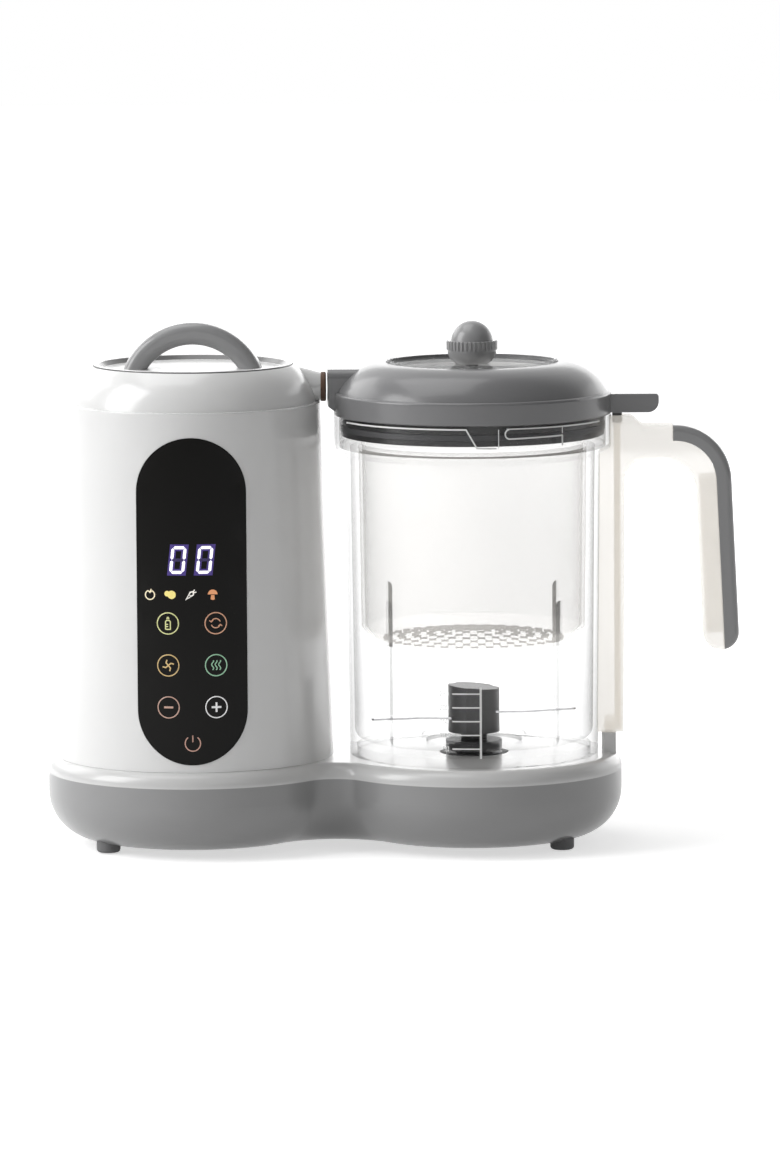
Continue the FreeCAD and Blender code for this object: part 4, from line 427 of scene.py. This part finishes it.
# Flat drawings in millimetres: across and up, as seen from the front
class Drawing:
    """Flat shapes that are then laid on the front of a solid, slightly proud of it."""

    def __init__(self):
        self.sheet = bmesh.new()

    def fill(self, points):
        corners = [self.sheet.verts.new((across * MM, 0, up * MM)) for across, up in points]
        self.sheet.faces.new(corners)

    def stroke(self, points, width, closed=False):
        """A line of even width through the points, with mitred joints."""
        spots = [Vector((across, up)) for across, up in points]
        count = len(spots)
        left = []
        right = []
        for index, spot in enumerate(spots):
            before = spots[index - 1] if index > 0 or closed else spot
            after = spots[(index + 1) % count] if index < count - 1 or closed else spot
            back = (spot - before if spot != before else after - spot).normalized()
            ahead = (after - spot if after != spot else spot - before).normalized()
            along = (back + ahead).normalized()
            normal = Vector((-along.y, along.x))
            reach = width / 2 / max(0.5, normal.dot(Vector((-ahead.y, ahead.x))))
            left.append(spot + normal * reach)
            right.append(spot - normal * reach)
        for index in range(count if closed else count - 1):
            after = (index + 1) % count
            self.fill([left[index], right[index], right[after], left[after]])

    def add(self, mesh, up=0.0):
        """Copies a finished flat mesh into the drawing."""
        first = len(self.sheet.verts)
        self.sheet.from_mesh(mesh)
        self.sheet.verts.ensure_lookup_table()
        for vert in self.sheet.verts[first:]:
            vert.co.z += up * MM

    def lay(self, name, node, material, body, slot, x=0.0, z=0.0, proud=0.06):
        """Cuts the shapes fine, wraps them on the node's front and gives them a thickness."""
        sheet = self.sheet
        bmesh.ops.remove_doubles(sheet, verts=sheet.verts, dist=1e-7)
        bmesh.ops.triangulate(sheet, faces=sheet.faces)
        for _ in range(3):
            long_edges = [edge for edge in sheet.edges if edge.calc_length() > 1.6 * MM]
            if long_edges:
                bmesh.ops.subdivide_edges(sheet, edges=long_edges, cuts=1)
                bmesh.ops.triangulate(sheet, faces=[face for face in sheet.faces if len(face.verts) > 3])
        bmesh.ops.recalc_face_normals(sheet, faces=sheet.faces)
        if sheet.faces and sum(face.normal.y * face.calc_area() for face in sheet.faces) > 0:
            bmesh.ops.reverse_faces(sheet, faces=sheet.faces)
        front = bmesh.ops.extrude_face_region(sheet, geom=sheet.faces[:])
        raised = {item for item in front["geom"] if isinstance(item, bmesh.types.BMVert)}
        for vert in sheet.verts:
            spot = Vector((vert.co.x + x, -1.0, vert.co.z + z))
            hit, touch, _, _ = nodes[node].ray_cast(spot, Vector((0, 1, 0)))
            if not hit:
                raise ValueError(f"{name} runs past the edge of {node}")
            vert.co = touch - Vector((0, (proud if vert in raised else 0.01) * MM, 0))
        bmesh.ops.recalc_face_normals(sheet, faces=sheet.faces)
        mesh = bpy.data.meshes.new(name)
        sheet.to_mesh(mesh)
        sheet.free()
        mesh.materials.append(material)
        piece = bpy.data.objects.new(name, mesh)
        bpy.context.scene.collection.objects.link(piece)
        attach(piece, body)
        return piece


def arc(across, up, radius, start, end, steps=24):
    """Points along a circle's arc, angles in degrees from the right."""
    points = []
    for index in range(steps + 1):
        angle = math.radians(start + (end - start) * index / steps)
        points.append((across + radius * math.cos(angle), up + radius * math.sin(angle)))
    return points


def moved(points, across, up):
    return [(x + across, y + up) for x, y in points]


def grown(name, build, sizes, material):
    """Runs a geometry tree once and returns its plain mesh."""
    tree = bpy.data.node_groups.new(name, "GeometryNodeTree")
    tree.interface.new_socket("Geometry", in_out="OUTPUT", socket_type="NodeSocketGeometry")
    for label, value in sizes.items():
        kind = "NodeSocketInt" if isinstance(value, int) else "NodeSocketFloat"
        tree.interface.new_socket(label, in_out="INPUT", socket_type=kind)
    bench = Bench(tree)
    entry = tree.nodes.new("NodeGroupInput")
    entries = {label: Wire(bench, entry.outputs[label]) for label in sizes}
    shape = build(bench, entries)
    real = bench.node("GeometryNodeRealizeInstances", None, {"Geometry": shape})
    painted = bench.node("GeometryNodeSetMaterial", None, {"Geometry": real, "Material": material})
    bench.node("NodeGroupOutput", None, {"Geometry": painted})
    holder = bpy.data.objects.new(name, bpy.data.meshes.new(name))
    bpy.context.scene.collection.objects.link(holder)
    modifier = holder.modifiers.new(name, "NODES")
    modifier.node_group = tree
    for item in tree.interface.items_tree:
        if item.item_type == "SOCKET" and item.in_out == "INPUT":
            modifier[item.identifier] = sizes[item.name]
    bpy.context.view_layer.update()
    seen = holder.evaluated_get(bpy.context.evaluated_depsgraph_get())
    mesh = bpy.data.meshes.new_from_object(seen)
    bpy.data.objects.remove(holder)
    return mesh


def on_panel(drawing, name, material, across, up):
    """Lays a drawing on the lens, at a place given from the tower axis and the table."""
    x = TOWER_X + across * MM
    return drawing.lay(name, "control_panel", material, "base", "black_gloss", x, up * MM)


# Two slanted figures of the display, each of seven bars
DIGIT_H = 12.6
DIGIT_W = 6.9
BAR_W = 1.35
SLANT = 0.11
DIGIT_GAP = 12.2
DISPLAY_UP = 138.4
HALO_INSET = 0.7
HALO_W = 3.0
HALO_PROUD = 0.03


def bar(x0, y0, x1, y1, half):
    """A bar with pointed ends, slanted as the figures are."""
    along = Vector((x1 - x0, y1 - y0)).normalized()
    side = Vector((-along.y, along.x)) * half
    first = Vector((x0, y0)) + along * 0.18
    last = Vector((x1, y1)) - along * 0.18
    flat = [
        first, first + along * half + side, last - along * half + side,
        last, last - along * half - side, first + along * half - side,
    ]
    return [(point.x + point.y * SLANT, point.y) for point in flat]


def figure_bars():
    """The six lit bars of a nought, and the unlit middle bar apart."""
    w = (DIGIT_W - BAR_W) / 2
    h = (DIGIT_H - BAR_W) / 2
    half = BAR_W / 2
    lit = [
        bar(-w, h, w, h, half), bar(-w, -h, w, -h, half),
        bar(-w, 0, -w, h, half), bar(w, 0, w, h, half),
        bar(-w, -h, -w, 0, half), bar(w, -h, w, 0, half),
    ]
    return lit, bar(-w, 0, w, 0, half)


figures = Drawing()
halo = Drawing()
unlit = Drawing()
for centre in (-DIGIT_GAP / 2, DIGIT_GAP / 2):
    lit_bars, middle_bar = figure_bars()
    for points in lit_bars:
        figures.fill(moved(points, centre, 0))
    unlit.fill(moved(middle_bar, centre, 0))
    w = DIGIT_W / 2 - HALO_INSET
    h = DIGIT_H / 2 - HALO_INSET
    outline = [(x + y * SLANT + centre, y) for x, y in ((-w, -h), (w, -h), (w, h), (-w, h))]
    halo.stroke(outline, HALO_W, closed=True)
figure_light = printed("figure_light", colour(0.93, 0.92, 1.0), 1.0)
figure_halo = printed("figure_halo", colour(0.035, 0.02, 0.13), 1.0)
unlit_bar = printed("unlit_bar", colour(0.02, 0.012, 0.07), 0.6)
halo.lay(
    "display_glow", "control_panel", figure_halo, "base", "black_gloss",
    TOWER_X, DISPLAY_UP * MM, HALO_PROUD,
)
on_panel(figures, "display_figures", figure_light, 0, DISPLAY_UP)
on_panel(unlit, "display_unlit", unlit_bar, 0, DISPLAY_UP)

# Row of food signs
FOOD_UP = 122.5
LINE = 0.55
cream_print = printed("cream_print", colour(0.75, 0.66, 0.46), 0.55)
yellow_print = printed("yellow_print", colour(0.78, 0.66, 0.22), 0.55)
white_print = printed("white_print", colour(0.8, 0.78, 0.73), 0.55)
orange_print = printed("orange_print", colour(0.68, 0.3, 0.14), 0.55)

apple = Drawing()
apple.stroke(arc(-0.1, -0.2, 2.1, 112, 428, 30), LINE)
apple.stroke([(-0.9, 1.7), (-0.1, 0.9), (0.7, 1.7)], LINE)
apple.stroke([(-0.1, 1.2), (0.5, 2.5)], 0.5)
on_panel(apple, "sign_apple", cream_print, -18.9, FOOD_UP)

bean = Drawing()
bean.fill(arc(0.7, 0, 1.9, -140, 130, 18) + arc(-1.3, 0.5, 1.3, 80, 280, 12))
on_panel(bean, "sign_bean", yellow_print, -9.8, FOOD_UP)

carrot = Drawing()
carrot.stroke([(1.1, 1.5), (-0.4, 1.2), (-2.3, -2.1), (1.0, 0.0)], 0.6, closed=True)
carrot.stroke([(0.9, 0.8), (2.4, 1.3)], 0.5)
carrot.stroke([(0.8, 1.0), (1.6, 2.4)], 0.5)
carrot.stroke([(-0.8, -0.1), (0.0, -0.4)], 0.4)
on_panel(carrot, "sign_carrot", white_print, -0.2, FOOD_UP)

mushroom = Drawing()
mushroom.fill(arc(0, 0.1, 2.2, 0, 180, 20))
mushroom.fill([(-0.75, -0.2), (-0.95, -2.1), (-0.4, -2.4), (0.4, -2.4), (0.95, -2.1), (0.75, -0.2)])
on_panel(mushroom, "sign_mushroom", orange_print, 9.6, FOOD_UP)

# Touch keys: three rows of two rings, each with its sign
KEY_ACROSS = 10.9
KEY_ROWS = (109.4, 90.2, 71.0)
KEY_R = 4.85
RING_W = 0.5
POWER_UP = 54.5


def key_print(name, low, high):
    """Ring print that drifts between two tints."""
    finish = Finish(name)
    cloud = finish.noise(130, 2)
    tint = finish.blend(cloud, low, high)
    return finish.close(Base_Color=tint, Roughness=0.35, Emission_Color=tint, Emission_Strength=0.42)


def ring_tree(bench, sizes):
    """A thin flat ring round the middle."""
    path = bench.node("GeometryNodeCurvePrimitiveCircle", None, {
        "Resolution": 48, "Radius": sizes["Radius"],
    })
    half = sizes["Width"] * 0.5
    low = bench.node("ShaderNodeCombineXYZ", None, {"X": 0.0 - half})
    high = bench.node("ShaderNodeCombineXYZ", None, {"X": half})
    turn = bench.node("GeometryNodeCurvePrimitiveLine", None, {"Start": low, "End": high})
    flat = bench.node("GeometryNodeCurveToMesh", None, {"Curve": path, "Profile Curve": turn})
    return bench.node(
        "GeometryNodeTransform", None, {"Geometry": flat, "Rotation": (math.pi / 2, 0, 0)}
    )


ring_mesh = grown(
    "key_ring", ring_tree, {"Radius": KEY_R * MM, "Width": RING_W * MM}, white_print
)


def key(name, low, high, across, row, lines):
    """One touch key: its ring and its sign in one tint."""
    drawing = Drawing()
    drawing.add(ring_mesh)
    for points, width in lines:
        drawing.stroke(points, width)
    material = key_print(name + "_print", low, high)
    on_panel(drawing, name, material, across, KEY_ROWS[row])


bottle_lines = [
    ([(-1.1, -2.7), (-1.1, 0.8), (-0.6, 1.4), (0.6, 1.4), (1.1, 0.8), (1.1, -2.7), (-1.1, -2.7)], 0.5),
    ([(-0.5, 1.9), (-0.2, 2.8), (0.2, 2.8), (0.5, 1.9)], 0.5),
    ([(-0.9, -0.4), (0.1, -0.4)], 0.4),
    ([(-0.9, -1.4), (0.1, -1.4)], 0.4),
]
cycle_lines = [
    (arc(0, 0, 2.1, 20, 160, 16), 0.5),
    (arc(0, 0, 2.1, 200, 340, 16), 0.5),
    ([(-2.9, 1.3), (-2.0, 0.6), (-1.2, 1.4)], 0.5),
    ([(2.9, -1.3), (2.0, -0.6), (1.2, -1.4)], 0.5),
]
whisk_lines = [
    ([(-2.6, -0.6), (-1.2, -1.0), (0, 0), (1.2, 1.0), (2.6, 0.6)], 0.6),
    ([(-0.6, 2.6), (-1.0, 1.2), (0, 0), (1.0, -1.2), (0.6, -2.6)], 0.6),
]
minus_lines = [([(-2.1, 0), (2.1, 0)], 0.9)]
plus_lines = [
    ([(-2.2, 0), (2.2, 0)], 0.9), ([(0, -2.2), (0, -0.46)], 0.9), ([(0, 0.46), (0, 2.2)], 0.9),
]
steam_lines = []
for offset in (-1.6, 0, 1.6):
    wave = [(offset + 0.45 * math.sin(step * 0.7), -2.2 + step * 0.37) for step in range(13)]
    steam_lines.append((wave, 0.5))

key("key_warm", colour(0.5, 0.52, 0.2), colour(0.66, 0.66, 0.36), -KEY_ACROSS, 0, bottle_lines)
key("key_cycle", colour(0.42, 0.2, 0.12), colour(0.62, 0.36, 0.24), KEY_ACROSS, 0, cycle_lines)
key("key_blend", colour(0.44, 0.3, 0.13), colour(0.6, 0.44, 0.2), -KEY_ACROSS, 1, whisk_lines)
key("key_steam", colour(0.14, 0.36, 0.2), colour(0.36, 0.52, 0.4), KEY_ACROSS, 1, steam_lines)
key("key_minus", colour(0.36, 0.2, 0.15), colour(0.52, 0.36, 0.3), -KEY_ACROSS, 2, minus_lines)
key("key_plus", colour(0.6, 0.6, 0.6), colour(0.74, 0.74, 0.74), KEY_ACROSS, 2, plus_lines)
power = Drawing()
power.stroke(arc(0, 0, 3.5, 128, 412, 36), 0.5)
power.stroke([(0, 0.6), (0, 3.7)], 0.5)
power_print = key_print("key_power_print", colour(0.34, 0.18, 0.14), colour(0.52, 0.32, 0.26))
on_panel(power, "key_power", power_print, 0, POWER_UP)

# Printed measure on the jug
MEASURE_ACROSS = 2.5
MEASURE_LOW = 45.7
MEASURE_HIGH = 78.5
TICK_LOW = 50.2
TICK_STEP = 6.35
TICK_L = 13.0
TICK_W = 0.65
TICKS = 5
MARK_STEP = 50
MARK_GAP = 1.2
MARK_PITCH = 1.5
MARK_W = 0.26
# Pale print for the measure; on the neck track the same tone is painted highlight
print_and_track_highlight = moulding("print_and_track_highlight", colour(0.86, 0.86, 0.85), 0.5, grain=0.1)


def tick_tree(bench, sizes):
    """Even ticks one above another, all starting at the same upright."""
    step = bench.node("ShaderNodeCombineXYZ", None, {"Z": sizes["Step"]})
    line = bench.node("GeometryNodeMeshLine", None, {"Count": sizes["Count"], "Offset": step})
    tick = bench.node("GeometryNodeMeshGrid", None, {
        "Size X": sizes["Length"], "Size Y": sizes["Width"], "Vertices X": 8, "Vertices Y": 2,
    })
    back = bench.node("ShaderNodeCombineXYZ", None, {"X": sizes["Length"] * -0.5})
    tick = bench.node("GeometryNodeTransform", None, {
        "Geometry": tick, "Translation": back, "Rotation": (math.pi / 2, 0, 0),
    })
    return bench.node("GeometryNodeInstanceOnPoints", None, {"Points": line, "Instance": tick})


ticks = grown(
    "measure_ticks", tick_tree,
    {"Count": TICKS, "Step": TICK_STEP * MM, "Length": TICK_L * MM, "Width": TICK_W * MM}, print_and_track_highlight,
)
FIGURE_STROKES = {
    "0": [[(0, 0), (1, 0), (1, 2), (0, 2), (0, 0)]],
    "1": [[(0.2, 1.6), (0.7, 2), (0.7, 0)]],
    "2": [[(0, 1.6), (0.2, 2), (0.9, 2), (1, 1.5), (0, 0), (1, 0)]],
    "5": [[(1, 2), (0, 2), (0, 1.2), (0.8, 1.2), (1, 0.8), (1, 0.3), (0.7, 0), (0, 0)]],
}
measure = Drawing()
measure.add(ticks, TICK_LOW)
measure.stroke([(0, MEASURE_LOW), (0, MEASURE_HIGH)], 1.0)
for number in range(TICKS):
    figures_here = str(MARK_STEP * (number + 1))
    for place, figure in enumerate(figures_here):
        left = -TICK_L - MARK_GAP - MARK_PITCH * (len(figures_here) - place)
        for points in FIGURE_STROKES[figure]:
            low = TICK_LOW + number * TICK_STEP - 1.0
            measure.stroke([(left + x, low + y) for x, y in points], MARK_W)
measure_x = JUG_X + MEASURE_ACROSS * MM
measure.lay("jug_measure", "jug", print_and_track_highlight, "blending_jug", "clear_plastic", measure_x, 0, 0.05)

# Moulded locking track on the jug's neck, pale as painted highlight along its ridges
track = Drawing()
TRACK_W = 0.7
STOP_W = 0.4
track.stroke([(-58.0, 197.4), (-3.6, 197.3), (1.3, 188.8), (10.2, 188.6)], TRACK_W)
track.stroke([(11.2, 188.6), (11.2, 197.2)], STOP_W)
hook = arc(16.4, 195.0, 2.2, 110, 270, 12)
track.stroke([(58.0, 197.3), (15.4, 197.3)] + hook + [(40.4, 193.2), (40.4, 188.6)], TRACK_W)
track.stroke([(40.4, 194.2), (40.4, 197.2)], STOP_W)
track.lay("neck_track", "jug", print_and_track_highlight, "blending_jug", "clear_plastic", JUG_X, 0, 0.35)

# Studio: pale floor, white surround, soft lamps
def ray(bench, kind):
    return bench.node("ShaderNodeLightPath", out=kind)


def watched(bench):
    """One for rays that look at a thing, nought for rays that only light it."""
    kinds = ("Is Camera Ray", "Is Glossy Ray", "Is Transmission Ray")
    first, second, third = [ray(bench, kind) for kind in kinds]
    return first + second + third > 0.5


AMBIENT = 0.2
world = bpy.data.worlds.new("studio")
bpy.context.scene.world = world
world.use_nodes = True
world.node_tree.nodes.clear()
sky = Bench(world.node_tree)
outlook = sky.node("ShaderNodeTexCoord", out="Generated")
depth = sky.node("ShaderNodeSeparateXYZ", None, {0: outlook}, out="Y")
behind = sky.node("ShaderNodeMapRange", {"interpolation_type": "SMOOTHSTEP"}, {
    "Value": depth, "From Min": 0.2, "From Max": 0.8, "To Min": 0.0, "To Max": 1.0,
})
seen = ray(sky, "Is Camera Ray") + ray(sky, "Is Transmission Ray") + ray(sky, "Is Glossy Ray") * behind
surround = sky.node("ShaderNodeBackground", None, {
    "Color": colour(1, 1, 1), "Strength": AMBIENT + seen * (1 - AMBIENT),
})
sky.node("ShaderNodeOutputWorld", None, {"Surface": surround})


def floor_finish():
    """Pale floor that is white to the eye away from the object and keeps its soft shadow."""
    finish = Finish("pale_floor")
    drift = finish.noise(3, 2)
    pale = {
        "Base_Color": finish.blend(drift, colour(0.79, 0.79, 0.79), colour(0.8, 0.8, 0.8)),
        "Roughness": 1.0,
        "Specular_IOR_Level": 0.0,
    }
    away = finish.node("ShaderNodeVectorMath", {"operation": "LENGTH"}, {0: finish.place}, out="Value")
    lift = finish.node("ShaderNodeMapRange", {"interpolation_type": "SMOOTHSTEP"}, {
        "Value": away, "From Min": 0.25, "From Max": 1.0, "To Min": 0.6, "To Max": 0.95,
    })
    matt = finish.shader(**pale)
    bright = finish.shader(Emission_Color=lift, Emission_Strength=1.0, **pale)
    both = finish.node("ShaderNodeMixShader", None, {0: watched(finish), 1: matt, 2: bright})
    return finish.finish(both)


FLOOR_HALF = 6.0
FLOOR_DROP = 0.5 * MM
floor_mesh = bpy.data.meshes.new("floor")
floor_sheet = bmesh.new()
bmesh.ops.create_grid(floor_sheet, x_segments=8, y_segments=8, size=FLOOR_HALF)
floor_sheet.to_mesh(floor_mesh)
floor_sheet.free()
floor_mesh.materials.append(floor_finish())
floor = bpy.data.objects.new("floor", floor_mesh)
floor.location.z = -FLOOR_DROP
bpy.context.scene.collection.objects.link(floor)


def lamp(name, place, aim, size, power):
    light = bpy.data.lights.new(name, "AREA")
    light.shape = "RECTANGLE"
    light.size, light.size_y = size
    light.energy = power
    holder = bpy.data.objects.new(name, light)
    holder.location = place
    holder.rotation_euler = (Vector(aim) - Vector(place)).to_track_quat("-Z", "Y").to_euler()
    bpy.context.scene.collection.objects.link(holder)


MIDDLE = (0, 0, 0.12)
lamp("key_box", (-1.7, -0.5, 1.1), MIDDLE, (1.1, 1.5), 28)
lamp("top_box", (-0.4, 0.1, 1.7), MIDDLE, (1.4, 1.0), 9)
lamp("back_box", (-1.4, 1.2, 1.1), MIDDLE, (1.4, 1.0), 8)
lamp("backdrop_box", (0.2, 1.7, 0.4), MIDDLE, (2.0, 0.7), 6)
lamp("side_box", (1.3, 0.9, 0.5), MIDDLE, (1.0, 0.8), 2)
lamp("fill_box", (0.9, -1.5, 1.2), MIDDLE, (0.9, 0.9), 1)

# Camera at the photograph's angle
LOOK_AT = Vector((-0.0012, 0, 0.119))
DISTANCE = 3.5
ELEVATION = math.radians(6.9)
ROLL = math.radians(-0.38)
camera_data = bpy.data.cameras.new("camera")
camera_data.lens = 232.6
camera_data.sensor_width = 36.0
camera_data.clip_end = 50
camera = bpy.data.objects.new("camera", camera_data)
camera.location = LOOK_AT + DISTANCE * Vector((0, -math.cos(ELEVATION), math.sin(ELEVATION)))
camera.rotation_euler = (math.pi / 2 - ELEVATION, 0, 0)
bpy.context.scene.collection.objects.link(camera)
bpy.context.view_layer.update()
camera.rotation_euler.rotate_axis("Z", ROLL)
bpy.context.scene.camera = camera

bpy.context.scene.view_settings.view_transform = "Standard"
